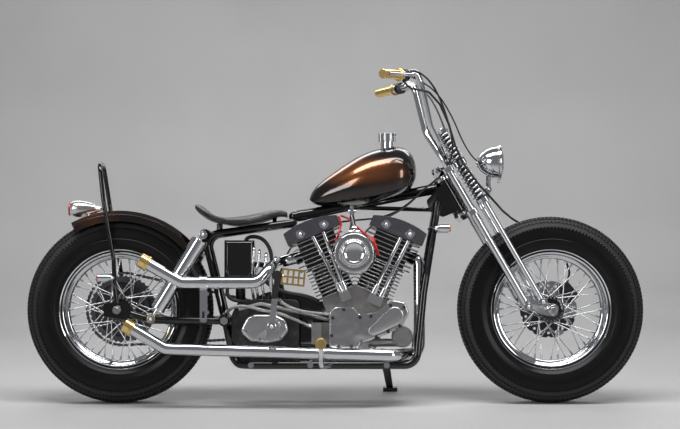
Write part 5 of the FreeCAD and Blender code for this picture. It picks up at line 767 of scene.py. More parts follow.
@dataclass
class Tyre(WheelPart):
    """A fat tyre with ribbed shoulders cut by zigzag grooves.

    Places on its section are angles in degrees, and crown gives (angle, lift in groove depths, swing).
    """
    width: float = 0.130
    fullness: float = 2.3
    rim_half: float = 0.038
    flange: float = 0.224
    steps: int = 288
    tooth: float = 0.0042
    groove_depth: float = 0.0032
    groove_half: float = 2.1
    grooves: tuple[float, ...] = (18.0, 37.0, 54.0)
    rib_height: float = 0.0008
    wall_ribs: tuple[float, ...] = (-30.0, -12.0)
    rib_half: tuple[float, float] = (1.5, 0.8)
    crown: Triples = ((64.0, 0.0, 1.0), (65.2, -1.0, 1.0), (68.0, -1.0, 1.0), (69.2, 0.0, 1.0), (83.0, 0.0, 1.0),
                      (84.5, -1.0, 1.0))
    plain: tuple[float, ...] = (-50.0, -42.0, -20.0, -4.0, 1.0, 76.0)
    tread_from: float = 0.287
    rib_top: float = 0.955

    def surface(self, angle: float) -> Vector:
        """Point on the tyre's section.

        Args:
            angle: Degrees from the widest point towards the crown; 90 is the crown.

        Returns:
            (offset, radius) as a 2-D vector.
        """
        turn, power = math.radians(angle), 2 / self.fullness
        across, out = (math.copysign(abs(share) ** power, share) for share in (math.cos(turn), math.sin(turn)))
        return Vector((across * self.width / 2, (TYRE_RADIUS + BEAD) / 2 + out * (TYRE_RADIUS - BEAD) / 2))

    def section(self) -> list[tuple[Vector, float]]:
        """Half section from the bead to the crown, with how far each point swings in the zigzag.

        Returns:
            Points as (offset, radius), and the share of the tooth that each point moves along the surface.
        """
        depth, half = self.groove_depth, self.groove_half
        foot, top = self.rib_half
        stations = [(angle, 0.0, 0.0) for angle in self.plain]
        stations += [(angle, lift * depth, swing) for angle, lift, swing in self.crown]
        for rib in self.wall_ribs:
            stations += [(rib - foot, 0.0, 0.0), (rib - top, self.rib_height, 0.0), (rib + top, self.rib_height, 0.0),
                         (rib + foot, 0.0, 0.0)]
        for groove in self.grooves:
            stations += [(groove - half, 0.0, 1.0), (groove - half * 0.6, -depth, 1.0),
                         (groove + half * 0.6, -depth, 1.0), (groove + half, 0.0, 1.0), (groove + 5.0, 0.0, 0.0)]
        points = [(Vector((self.rim_half, BEAD)), 0.0), (Vector((self.rim_half, self.flange)), 0.0),
                  (Vector((self.rim_half + 0.005, self.flange + 0.002)), 0.0)]
        for angle, lift, swing in sorted(stations):
            along = (self.surface(angle + 0.5) - self.surface(angle - 0.5)).normalized()
            points.append((self.surface(angle) + Vector((along.y, -along.x)) * lift, swing))
        return points

    def on_rib(self, middle: Vector, normal: Vector) -> bool:
        """Says whether a face lies on top of a tread rib.

        Args:
            middle: The face's middle in the upright machine's frame.
            normal: Its normal, which says nothing here.

        Returns:
            True for a rib's top, False for a sidewall or a groove.
        """
        radius = math.hypot(middle.x - self.ahead, middle.z - TYRE_RADIUS)
        rise = (radius - (TYRE_RADIUS + BEAD) / 2) / ((TYRE_RADIUS - BEAD) / 2)
        reach = abs(middle.y / (self.width / 2)) ** self.fullness + abs(rise) ** self.fullness
        return radius > self.tread_from and reach > self.rib_top

    def build(self) -> None:
        """Builds the tyre in place of its CAD node."""
        half = self.section()
        whole = half + [(Vector((-point.x, point.y)), swing) for point, swing in reversed(half)]
        form = bmesh.new()
        swing_layer = form.verts.layers.float_vector.new("swing")
        corners = []
        for index, (point, swing) in enumerate(whole):
            corner = form.verts.new((0.0, point.x, point.y))
            before, after = whole[index - 1][0], whole[(index + 1) % len(whole)][0]
            along = (after - before).normalized() * swing * self.tooth
            corner[swing_layer] = (0.0, along.x, along.y)
            corners.append(corner)
        for start, end in zip(corners, corners[1:] + corners[:1]):
            form.edges.new((start, end))
        turned(form, self.steps)
        for corner in form.verts:
            shift = corner[swing_layer]
            turn = math.atan2(corner.co.x, corner.co.z)
            sign = 1.0 if round(turn / math.tau * self.steps) % 2 else -1.0
            outward = Vector((math.sin(turn), 0.0, math.cos(turn)))
            corner.co += (Vector((0.0, shift[1], 0.0)) + outward * shift[2]) * sign
        bmesh.ops.recalc_face_normals(form, faces=form.faces)
        tyre = new_object(f"{self.name}_tyre_ribbed", moved(form, self.place), TYRE_RUBBER, self.body, 28.0)
        # The rib tops take the lighter rubber, partly for wear and partly as a painted highlight.
        accented(tyre, WORN_AND_LIT_TREAD, self.on_rib)
        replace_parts(tyre, f"{self.name}_tyre")


@dataclass
class WireWheel(WheelPart):
    """Rim, hub and crossing spokes with their nipples."""
    half_width: float = 0.042
    per_side: int = 20
    sweep: float = 54.0
    circle: float = 0.042
    spread: float = 0.032
    rim_offset: float = 0.009
    spoke: float = 0.0021
    nipple: float = 0.0042

    def rim(self) -> Form:
        """Rolled rim with its bead seats, well and curled edges.

        Returns:
            The form.
        """
        half = self.half_width
        side = [(half, 0.014), (half + 0.0012, 0.0175), (half - 0.0005, 0.0192), (half - 0.0035, 0.0185),
                (half - 0.0045, 0.014), (half - 0.0045, 0.002), (half - 0.008, 0.0), (0.020, -0.001),
                (0.015, -0.008), (0.012, -0.014)]
        under = [(0.0095, -0.0187), (0.0130, -0.0182), (0.0152, -0.0162), (0.0163, -0.0132), (0.0170, -0.0100),
                 (0.0184, -0.0074), (0.0212, -0.0058), (half - 0.009, -0.005), (half - 0.004, -0.003),
                 (half - 0.001, 0.0005), (half, 0.004)]
        outline = side + [(-y, rise) for y, rise in side[::-1]] + [(-y, rise) for y, rise in under] + under[::-1]
        return spun([(y, BEAD + rise) for y, rise in outline], 160)

    def hub(self) -> Form:
        """Hub shell with two flanges and a waist.

        Returns:
            The form.
        """
        half = [(0.0399, 0.0098), (0.0399, 0.019), (0.0375, 0.022), (0.0362, 0.030), (0.0358, 0.0465),
                (0.0345, 0.048), (0.030, 0.048), (0.0285, 0.0465), (0.027, 0.036), (0.018, 0.026), (0.0, 0.0235)]
        return spun(half + [(-y, radius) for y, radius in half[-2::-1]], 64)

    def spokes(self) -> tuple[Form, Form]:
        """Spokes and nipples.

        Returns:
            The form of the spokes, and that of the nipples at the rim.
        """
        wires, nipples = bmesh.new(), bmesh.new()
        well = BEAD - 0.017
        for side in SIDES:
            for index in range(self.per_side):
                angle = math.tau * (index + (0.5 if side > 0 else 0.0)) / self.per_side
                far = angle + math.radians(self.sweep if index % 2 else -self.sweep)
                start = Vector((math.cos(angle) * self.circle, side * self.spread, math.sin(angle) * self.circle))
                end = Vector((math.cos(far) * well, side * self.rim_offset, math.sin(far) * well))
                add_rod(wires, start, end, self.spoke, 8)
                add_rod(nipples, end, end + (start - end).normalized() * 0.017, self.nipple, 8, 0.0032)
                head = LEFT * side * 0.0035
                add_rod(nipples, start + head, start + head * 1.9, self.nipple, 8, 0.003)
        return wires, nipples

    def build(self) -> None:
        """Builds the wheel in place of its CAD node."""
        wires, nipples = self.spokes()
        for part, form, finish in (("rim", self.rim(), CHROME), ("hub", self.hub(), BLACK_ENAMEL),
                                   ("spokes", wires, CHROME), ("nipples", nipples, STEEL)):
            piece = new_object(f"{self.name}_{part}", moved(form, self.place), finish, self.body, 50.0)
            if part == "rim":
                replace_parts(piece, f"{self.name}_wheel")


@dataclass
class Saddle:
    """The low leather seat: a padded top over the pan."""
    swell: float = 0.008
    voxel: float = 0.006
    pressure: float = 2.0
    mass: float = 0.4
    steps: int = 12
    smoothing: tuple[float, int] = (0.6, 6)

    def build(self) -> None:
        """Swells a copy of the CAD seat with a short cloth simulation."""
        form = form_of(frame["nodes"]["seat"].data)
        bmesh.ops.remove_doubles(form, verts=form.verts, dist=MERGED)
        seat = new_object("saddle_padded", form, LEATHER, smooth=60.0, upright=False)
        remesh = seat.modifiers.new("even", "REMESH")
        remesh.mode = "VOXEL"
        remesh.voxel_size = self.voxel
        apply_modifiers(seat)
        self.inflate(seat)
        smooth = seat.modifiers.new("soft", "SMOOTH")
        smooth.factor, smooth.iterations = self.smoothing
        finer = seat.modifiers.new("finer", "SUBSURF")
        finer.levels = finer.render_levels = 1
        apply_modifiers(seat)
        seat.data.shade_smooth()
        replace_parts(seat, "seat")

    def inflate(self, seat: Piece) -> None:
        """Runs the cloth and caps how far each point moves.

        Args:
            seat: The remeshed seat, which takes the shape.
        """
        rest = [corner.co.copy() for corner in seat.data.vertices]
        cloth = seat.modifiers.new("stuffing", "CLOTH").settings
        cloth.use_pressure = True
        cloth.uniform_pressure_force = self.pressure
        cloth.effector_weights.gravity = 0.0
        cloth.mass = self.mass
        for step in range(1, self.steps + 1):
            bpy.context.scene.frame_set(step)
        apply_modifiers(seat)
        bpy.context.scene.frame_set(1)
        for corner, before in zip(seat.data.vertices, rest):
            move = corner.co - before
            if move.length > self.swell:
                corner.co = before + move.normalized() * self.swell


@dataclass
class ForkSprings:
    """Four open coil springs: two load springs under the perch and two rebound springs above it."""
    forward: float = 0.088
    half_spread: float = 0.042
    radius: float = 0.0188
    wire: float = 0.0033
    core: float = 0.0125
    steps: int = 22
    spans: Triples = ((-0.086, 0.054, 8.0), (0.072, 0.188, 7.0))

    def coil(self, pitch: float, turns: float) -> Form:
        """Winds round wire about the Z axis by a screwed spin.

        Args:
            pitch: Rise of one turn.
            turns: Number of turns.

        Returns:
            The form, which starts at Z = 0.
        """
        form = bmesh.new()
        place = at((self.radius, 0.0, 0.0)) @ Matrix.Rotation(math.radians(90.0), 4, "X")
        bmesh.ops.create_circle(form, cap_ends=True, segments=10, radius=self.wire, matrix=place)
        bmesh.ops.spin(form, geom=form.verts[:] + form.edges[:] + form.faces[:], cent=(0, 0, 0), axis=(0, 0, 1),
                       dvec=(0, 0, pitch / self.steps), angle=math.tau * turns, steps=round(turns * self.steps),
                       use_duplicate=False)
        bmesh.ops.recalc_face_normals(form, faces=form.faces)
        return form

    def build(self) -> None:
        """Winds the springs in place of their CAD node."""
        coils, cores = [], bmesh.new()
        for side in SIDES:
            for low, high, turns in self.spans:
                foot, head = (FORK @ Vector((self.forward, side * self.half_spread, up)) for up in (low, high))
                add_rod(cores, foot, head, self.core, 24)
                start = at((self.forward, side * self.half_spread, low + self.wire))
                coils.append(moved(self.coil((high - low - self.wire * 2) / turns, turns), FORK @ start))
        new_object("spring_cores", cores, BLACK_SATIN, Body.FORK, 40.0)
        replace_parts(new_object("fork_coil_springs", merged(coils), CHROME, Body.FORK, 60.0), "fork_springs")


@dataclass
class RollerChain:
    """The final drive chain as plates and rollers round both sprockets, each given as (ahead, up, radius)."""
    rear: tuple[float, float, float] = (-0.779, 0.337, 0.1325)
    front: tuple[float, float, float] = (-0.222, 0.290, 0.0565)
    side: float = 0.084
    links: int = 108
    plate_half: float = 0.0062
    plate_wall: float = 0.0016
    offsets: tuple[float, float] = (0.0052, 0.0034)
    pin: tuple[float, float] = (0.0066, 0.0026)
    roller: tuple[float, float] = (0.0028, 0.0048)

    def on_sprocket(self, sprocket: tuple[float, float, float], angle: float) -> Vector:
        """Point on a sprocket's pitch circle."""
        ahead, up, radius = sprocket
        return Vector((ahead + math.cos(angle) * radius, self.side, up + math.sin(angle) * radius))

    def station(self, share: float) -> Vector:
        """Point on the loop.

        Args:
            share: Distance round the loop as a share of its length.

        Returns:
            The point in the machine's frame.
        """
        large, small = self.rear[2], self.front[2]
        reach = Vector(self.front[:2]) - Vector(self.rear[:2])
        tilt = math.atan2(reach.y, reach.x)
        spread = math.acos((large - small) / reach.length)
        run = math.sqrt(reach.length ** 2 - (large - small) ** 2)
        nose = small * 2 * spread
        along = share % 1.0 * (2 * run + nose + large * 2 * (math.pi - spread))
        if along < run:
            ends = (self.on_sprocket(sprocket, tilt + spread) for sprocket in (self.rear, self.front))
            return Vector.lerp(*ends, along / run)
        if along < run + nose:
            return self.on_sprocket(self.front, tilt + spread - (along - run) / small)
        if along < 2 * run + nose:
            ends = (self.on_sprocket(sprocket, tilt - spread) for sprocket in (self.front, self.rear))
            return Vector.lerp(*ends, (along - run - nose) / run)
        return self.on_sprocket(self.rear, tilt - spread - (along - 2 * run - nose) / large)

    def build(self) -> None:
        """Lays the links in place of the CAD node."""
        form = bmesh.new()
        stations = [self.station(index / self.links) for index in range(self.links)]
        for index, start in enumerate(stations):
            run = stations[(index + 1) % self.links] - start
            turn = Matrix.Rotation(math.atan2(-run.z, run.x), 4, "Y")
            for side in SIDES:
                place = at(start + run / 2 + LEFT * side * self.offsets[index % 2]) @ turn
                for share in (-0.5, 0.5):
                    spot = place @ at((run.length * share, self.plate_wall / 2, 0))
                    add_disc(form, spot @ Matrix.Rotation(math.radians(90), 4, "X"), self.plate_half,
                             self.plate_wall, 10)
                bmesh.ops.create_cube(form, size=1.0, matrix=place @ Matrix.Diagonal(
                    (run.length, self.plate_wall * 0.96, self.plate_half * 1.3, 1.0)))
            for (reach, radius), sides in ((self.pin, 8), (self.roller, 10)):
                add_rod(form, start - LEFT * reach, start + LEFT * reach, radius, sides)
        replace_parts(new_object("roller_chain", form, DARK_STEEL), "drive_chain")


@dataclass
class EngineTrim:
    """Fasteners, plugs, leads and bright edges of the engine."""
    pieces: dict[str, Piece]
    face: float = -0.111
    gear_face: float = -0.075
    cover_screws: Pairs = (
        (-0.009, 0.308), (0.030, 0.338), (0.088, 0.310), (-0.013, 0.245), (0.197, 0.354), (0.246, 0.346),
        (0.231, 0.279), (0.189, 0.260), (0.146, 0.241), (0.058, 0.206), (0.012, 0.206), (0.128, 0.314))
    pump_screws: Pairs = ((0.094, 0.225), (0.094, 0.175), (0.103, 0.200))
    pump_plugs: Triples = (
        (0.100, 0.186, 0.016), (0.128, 0.196, 0.012), (0.168, 0.190, 0.010))
    lobe_ends: Triples = ((0.212, 0.315, 0.033), (0.135, 0.262, 0.018))
    lobe_steps: int = 24
    head_from: float = 0.272
    barrel_half: float = 0.077
    head_half: float = 0.094
    fin_side: float = 0.0725
    fin_corner: float = 0.0475

    def on_fin_edge(self, place: Matrix, middle: Vector, normal: Vector) -> bool:
        """Says whether a face lies on the outer edge of a fin.

        Args:
            place: The cylinder's place.
            middle: The face's middle.
            normal: Its normal.

        Returns:
            True for an edge.
        """
        local = place.inverted() @ middle
        half = self.barrel_half if local.z < self.head_from else self.head_half
        outside = (abs(local.x) > half - 0.002 or abs(local.y) > self.fin_side
                   or abs(local.x) + abs(local.y) > half + self.fin_corner)
        return outside and abs(normal.dot((place.to_3x3() @ UP).normalized())) < 0.3

    def nuts(self) -> Form:
        """Acorn nuts and small bolts on the rocker boxes, and bolts at the barrels' feet.

        Returns:
            The form.
        """
        forms = []
        for front, sign in ((True, 1.0), (False, -1.0)):
            form = bmesh.new()
            for ahead in (-0.0459, 0.0459):
                add_acorn(form, (ahead, -0.104, 0.4022), RIGHT, 0.0105)
            for ahead in (-0.0816, -0.0102, 0.0816):
                add_bolt(form, (sign * ahead, 0.0625, 0.398), LEFT, 0.0055)
            for side in (-0.062, 0.062):
                add_bolt(form, (sign * 0.0675, side, 0.1525), UP, 0.0065)
            forms.append(moved(form, at_cylinder(front)))
        return merged(forms)

    def housings(self) -> None:
        """Ribs, plugs and cap of the oil pump and the front housing, and bolts under the cylinders."""
        cast, plugs = bmesh.new(), bmesh.new()
        timer = Vector((0.240, self.face + 0.003, 0.240))
        for radius, depth in ((0.036, 0.004), (0.030, 0.008), (0.014, 0.013)):
            add_disc(cast, aimed(timer, RIGHT), radius, depth, 40, radius * 0.96)
        for spot in ring_points(timer + RIGHT * 0.0035, 0.0325, 4, 0.4):
            add_bolt(plugs, spot, RIGHT, 0.0048)
        for ahead, up, radius in self.pump_plugs:
            add_disc(cast, aimed((ahead, self.gear_face - 0.030, up), RIGHT), radius, 0.009, 28, radius * 0.9)
            add_bolt(plugs, (ahead, self.gear_face - 0.0385, up), RIGHT, radius * 0.45)
        for ahead in (-0.020, 0.010, 0.132, 0.162):
            add_bolt(plugs, (ahead, -0.058, 0.158), RIGHT, 0.0065)
        new_object("engine_housings", cast, CAST_ALLOY)
        new_object("engine_plugs", plugs, STEEL)

    def second_lobe(self) -> None:
        """Raised polished housing over the front half of the cam cover."""
        form = bmesh.new()
        (ahead, up, wide), (back, low, narrow) = self.lobe_ends
        reach = Vector((back - ahead, low - up))
        tilt, spread = math.atan2(reach.y, reach.x), math.acos((wide - narrow) / reach.length)
        corners = []
        for x, z, radius, start, sweep in ((ahead, up, wide, spread, math.tau - 2 * spread),
                                           (back, low, narrow, -spread, 2 * spread)):
            for step in range(self.lobe_steps + 1):
                angle = tilt + start + sweep * step / self.lobe_steps
                corners.append(form.verts.new((x + math.cos(angle) * radius, self.face + 0.002,
                                               z + math.sin(angle) * radius)))
        grown = bmesh.ops.extrude_face_region(form, geom=[form.faces.new(corners)])["geom"]
        moving = [item for item in grown if isinstance(item, bmesh.types.BMVert)]
        bmesh.ops.translate(form, vec=RIGHT * 0.011, verts=moving)
        bmesh.ops.recalc_face_normals(form, faces=form.faces)
        outer = [edge for edge in form.edges if all(corner.co.y < self.face - 0.0065 for corner in edge.verts)]
        bmesh.ops.bevel(form, geom=outer, offset=0.005, segments=4, affect="EDGES", profile=0.5, material=-1)
        new_object("cam_cover_lobe", form, POLISHED_ALLOY)

    def air_cleaner_face(self) -> None:
        """Stepped rings and a bare dished centre on the air cleaner."""
        outline = [(0.0, 0.0), (-0.0035, 0.0), (-0.0035, 0.028), (-0.0055, 0.031), (-0.0075, 0.034), (-0.0075, 0.040),
                   (-0.0055, 0.043), (-0.002, 0.0445), (0.004, 0.0455), (0.006, 0.0455)]
        disc = moved(spun(outline, 96, closed=False), at(AIR_CLEANER))
        new_object("air_cleaner_centre", disc, CHROME)

    def spark_plugs(self) -> None:
        """Spark plugs with red caps, and their leads."""
        routes = {True: (0.02, (0.156, -0.150, 0.520), (0.149, -0.180, 0.556), (0.128, -0.176, 0.592),
                         (0.100, -0.140, 0.612), (0.070, -0.085, 0.640), (0.046, -0.056, 0.668),
                         (0.020, -0.052, 0.676)),
                  False: (0.014, (0.014, -0.125, 0.616), (0.024, -0.080, 0.650), (0.012, -0.050, 0.672))}
        ceramic, caps, leads = bmesh.new(), bmesh.new(), []
        for front, sign in ((True, 1.0), (False, -1.0)):
            root = at_cylinder(front) @ Vector((-sign * 0.058, -0.0575, 0.318))
            out = (at_cylinder(front).to_3x3() @ Vector((-sign * 0.25, -1.0, 0.35))).normalized()
            for form, start, end, radius, sides in ((ceramic, 0.0, 0.010, 0.0105, 6),
                                                    (ceramic, 0.010, 0.032, 0.0062, 14),
                                                    (caps, 0.024, 0.052, 0.0088, 16)):
                add_rod(form, root + out * start, root + out * end, radius, sides)
            tip, (straight, *way) = root + out * 0.050, routes[front]
            leads.append(tube_form([tip, tip + out * straight, *way], 0.0038))
        new_object("spark_plugs", ceramic, STEEL, smooth=40.0)
        new_object("plug_caps", caps, RED_RUBBER, smooth=40.0)
        new_object("plug_leads", merged(leads), RED_RUBBER, smooth=60.0)

    def fuel_tap(self) -> None:
        """Polished bracket over the air cleaner, and the fuel tap under the tank with its hose."""
        form = bmesh.new()
        for start, end, radius, sides, tip in (
                ((0.067, -0.150, 0.606), (0.067, -0.150, 0.628), 0.016, 20, 0.012),
                ((0.067, -0.150, 0.628), (0.060, -0.100, 0.668), 0.009, 20, 0.009),
                ((0.060, -0.100, 0.668), (0.060, -0.080, 0.706), 0.008, 20, 0.010),
                ((0.048, -0.158, 0.612), (0.086, -0.158, 0.612), 0.010, 16, 0.010),
                ((0.046, -0.090, 0.690), (0.074, -0.090, 0.690), 0.0055, 12, 0.0055)):
            add_rod(form, start, end, radius, sides, tip)
        add_acorn(form, (0.067, -0.161, 0.618), RIGHT, 0.0075)
        new_object("fuel_tap", form, CHROME, smooth=40.0)
        way = [(0.060, -0.090, 0.672), (0.058, -0.110, 0.640), (0.048, -0.120, 0.600), (0.055, -0.110, 0.560)]
        new_object("fuel_hose", tube_form(way, 0.0042), BLACK_RUBBER, smooth=60.0)

    def build(self) -> None:
        """Adds all of the trim."""
        for name, front in (("cylinder_front", True), ("cylinder_rear", False)):
            accented(self.pieces[name], FIN_EDGE, partial(self.on_fin_edge, at_cylinder(front)))
        new_object("engine_nuts", self.nuts(), CHROME)
        screws = [cap_screw((ahead, self.face + 0.001, up), RIGHT, 0.0062) for ahead, up in self.cover_screws]
        screws += [cap_screw((ahead, self.gear_face - 0.0335, up), RIGHT, 0.0045) for ahead, up in self.pump_screws]
        new_object("case_screws", merged(screws), DARK_STEEL)
        self.housings()
        self.second_lobe()
        self.air_cleaner_face()
        self.spark_plugs()
        self.fuel_tap()


@dataclass
class Headlight:
    """Hollow reflector, bulb and rim of the headlamp."""
    pieces: dict[str, Piece]
    face: float = 0.603
    height: float = 0.870
    radius: float = 0.0585
    depth: float = 0.042

    def open_bowl(self) -> None:
        """Takes the flat front off the bowl, so that the reflector shows."""
        bowl = self.pieces["headlamp"].data
        form = form_of(bowl)
        turn = UPRIGHT.to_3x3()
        front = [side for side in form.faces if (UPRIGHT @ side.calc_center_median()).x > self.face - 0.0005
                 and (turn @ side.normal).x > 0.9]
        bmesh.ops.delete(form, geom=front, context="FACES")
        written(form, bowl)

    def build(self) -> None:
        """Adds the reflector, the bulb, the rim's beading and the clamp screw."""
        self.open_bowl()
        place = at((self.face, 0.0, self.height)) @ Matrix.Rotation(math.radians(-90.0), 4, "Z")
        dish = [(-self.depth * (1 - share ** 2), self.radius * share)
                for share in (0.95, 0.85, 0.7, 0.55, 0.4, 0.25, 0.12)]
        reflector = spun([(-0.0005, self.radius), *dish, (-self.depth, 0.0)], 72, closed=False)
        new_object("headlamp_reflector", moved(reflector, place), REFLECTOR, Body.FORK, 60.0)
        bulb = bmesh.new()
        centre = Vector((self.face - 0.040, 0.0, self.height))
        add_rod(bulb, centre, centre + Vector((0.016, 0, 0)), 0.009, 20)
        add_ball(bulb, at(centre + Vector((0.021, 0, 0))), 0.0085, 20, 12)
        new_object("headlamp_bulb", bulb, PALE_PLATE, Body.FORK, 50.0)
        rim = spun([(0.0, 0.0635), (-0.0025, 0.0662), (-0.0065, 0.0668), (-0.0095, 0.0655), (-0.0115, 0.0628),
                    (-0.006, 0.0600), (0.001, 0.0592)], 96)
        new_object("headlamp_rim", moved(rim, place), CHROME, Body.FORK, 60.0)
        screws = bmesh.new()
        add_bolt(screws, (self.face - 0.008, 0.0, self.height - 0.067), -UP, 0.005)
        for side in SIDES:
            add_acorn(screws, (0.557, side * 0.0085, self.height - 0.098), LEFT * side, 0.0075)
        new_object("headlamp_screws", screws, CHROME, Body.FORK, 40.0)


@dataclass
class Controls:
    """Cables, clamps and screws of the handlebar."""
    cable: float = 0.0034
    wire: float = 0.0028
    bends: tuple[int, int] = (6, 9)
    bar_run: Route = (
        (0.232, -0.235, 1.158), (0.262, -0.232, 1.180), (0.300, -0.215, 1.178), (0.345, -0.180, 1.140),
        (0.381, -0.150, 1.075), (0.415, -0.118, 0.975), (0.424, -0.092, 0.905), (0.405, -0.070, 0.845),
        (0.365, -0.046, 0.806), (0.318, -0.040, 0.770))
    throttle_run: Route = (
        (0.262, -0.046, 0.712), (0.196, -0.075, 0.672), (0.128, -0.105, 0.640), (0.090, -0.110, 0.590),
        (0.078, -0.100, 0.560))
    clutch_run: Route = (
        (0.262, 0.052, 0.716), (0.180, 0.066, 0.672), (0.040, 0.070, 0.660), (-0.100, 0.074, 0.640),
        (-0.170, 0.090, 0.560), (-0.205, 0.100, 0.470), (-0.222, 0.110, 0.405))
    lamp_run: Route = (
        (0.262, -0.205, 1.165), (0.318, -0.196, 1.142), (0.371, -0.160, 1.100), (0.419, -0.110, 1.030),
        (0.456, -0.084, 0.945), (0.486, -0.076, 0.896), (0.512, -0.052, 0.872), (0.540, -0.026, 0.864),
        (0.562, -0.018, 0.864))

    def cables(self) -> None:
        """Throttle and clutch cables, which bend where the fork turns, and the lamp's wire."""
        for name, way in (("throttle_cable", [*self.bar_run, *self.throttle_run]),
                          ("clutch_cable", [(x, -y, z) for x, y, z in self.bar_run] + list(self.clutch_run))):
            cable = new_object(name, tube_form(way, self.cable), BLACK_RUBBER, None, 60.0)
            start, end = (LEANED @ Vector(way[index]) for index in self.bends)
            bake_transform(cable, "fork", "chassis", start, end)
        new_object("lamp_wire", tube_form(self.lamp_run, self.wire), BLACK_RUBBER, Body.FORK, 60.0)

    def clamps(self) -> None:
        """Clamps and screws on the perches, black bands at the grips, and the bar's risers."""
        bands, screws = bmesh.new(), bmesh.new()
        for side in SIDES:
            start, end = Vector((0.2505, side * 0.2185, 1.1656)), Vector((0.1679, side * 0.345, 1.1573))
            along = (end - start).normalized()
            for reach in (0.00302, 0.017365):
                add_rod(bands, start + along * reach, start + along * (reach + 0.0055), 0.0215, 28)
            for rise in (-0.010, 0.010):
                spot = start + along * 0.010 + Vector((0.016, 0, rise))
                add_disc(screws, at(spot), 0.004, 0.008, 12)
            riser = FORK @ Vector((0.048, side * 0.045, 0.072))
            add_rod(bands, riser, riser + FORK_UP * 0.010, 0.0185, 28)
            add_bolt(screws, FORK @ Vector((0.033, side * 0.098, 0.0725)), FORK_UP, 0.011)
        new_object("bar_clamps", bands, BLACK_SATIN, Body.FORK, 40.0)
        new_object("bar_screws", screws, CHROME, Body.FORK)

    def build(self) -> None:
        """Adds everything on the bar."""
        self.cables()
        self.clamps()


@dataclass
class ForkTrim:
    """Nuts, cups and bands of the spring fork; ahead and rise are measured in the fork's frame."""
    half_width: float = 0.098
    rear_leg: float = 0.033
    front_leg: float = 0.088
    spring_side: float = 0.042
    pivots: Pairs = ((0.033, -0.506), (0.088, -0.517))
    cups: Triples = (
        (-0.104, -0.094, 0.0300), (0.040, 0.050, 0.0300), (0.073, 0.084, 0.0210))

    def build(self) -> None:
        """Adds the pivot nuts, the leg bands and the steering head's cups."""
        nuts, bands = bmesh.new(), bmesh.new()
        for side in SIDES:
            for ahead, rise in self.pivots:
                add_acorn(nuts, FORK @ Vector((ahead, side * (self.half_width + 0.0145), rise)), LEFT * side, 0.0095)
            for leg, rises, height, radius, sides in ((self.rear_leg, (-0.105, -0.155, -0.480), 0.009, 0.0168, 28),
                                                      (self.front_leg, (-0.124, -0.520), 0.007, 0.0126, 24)):
                for rise in rises:
                    foot = FORK @ Vector((leg, side * self.half_width, rise))
                    add_rod(bands, foot, foot + FORK_UP * height, radius, sides)
            top = FORK @ Vector((self.front_leg, side * self.spring_side, 0.188))
            add_rod(bands, top, top + FORK_UP * 0.006, 0.0222, 32)
            add_acorn(nuts, top + FORK_UP * 0.006, FORK_UP, 0.0088)
        for low, high, radius in self.cups:
            add_rod(bands, FORK @ Vector((0, 0, low)), FORK @ Vector((0, 0, high)), radius, 36)
        add_disc(nuts, aimed(FORK @ Vector((0, 0, 0.084)), FORK_UP), 0.0175, 0.009, 6)
        new_object("fork_nuts", nuts, CHROME, Body.FORK)
        new_object("fork_bands", bands, CHROME, Body.FORK, 45.0)


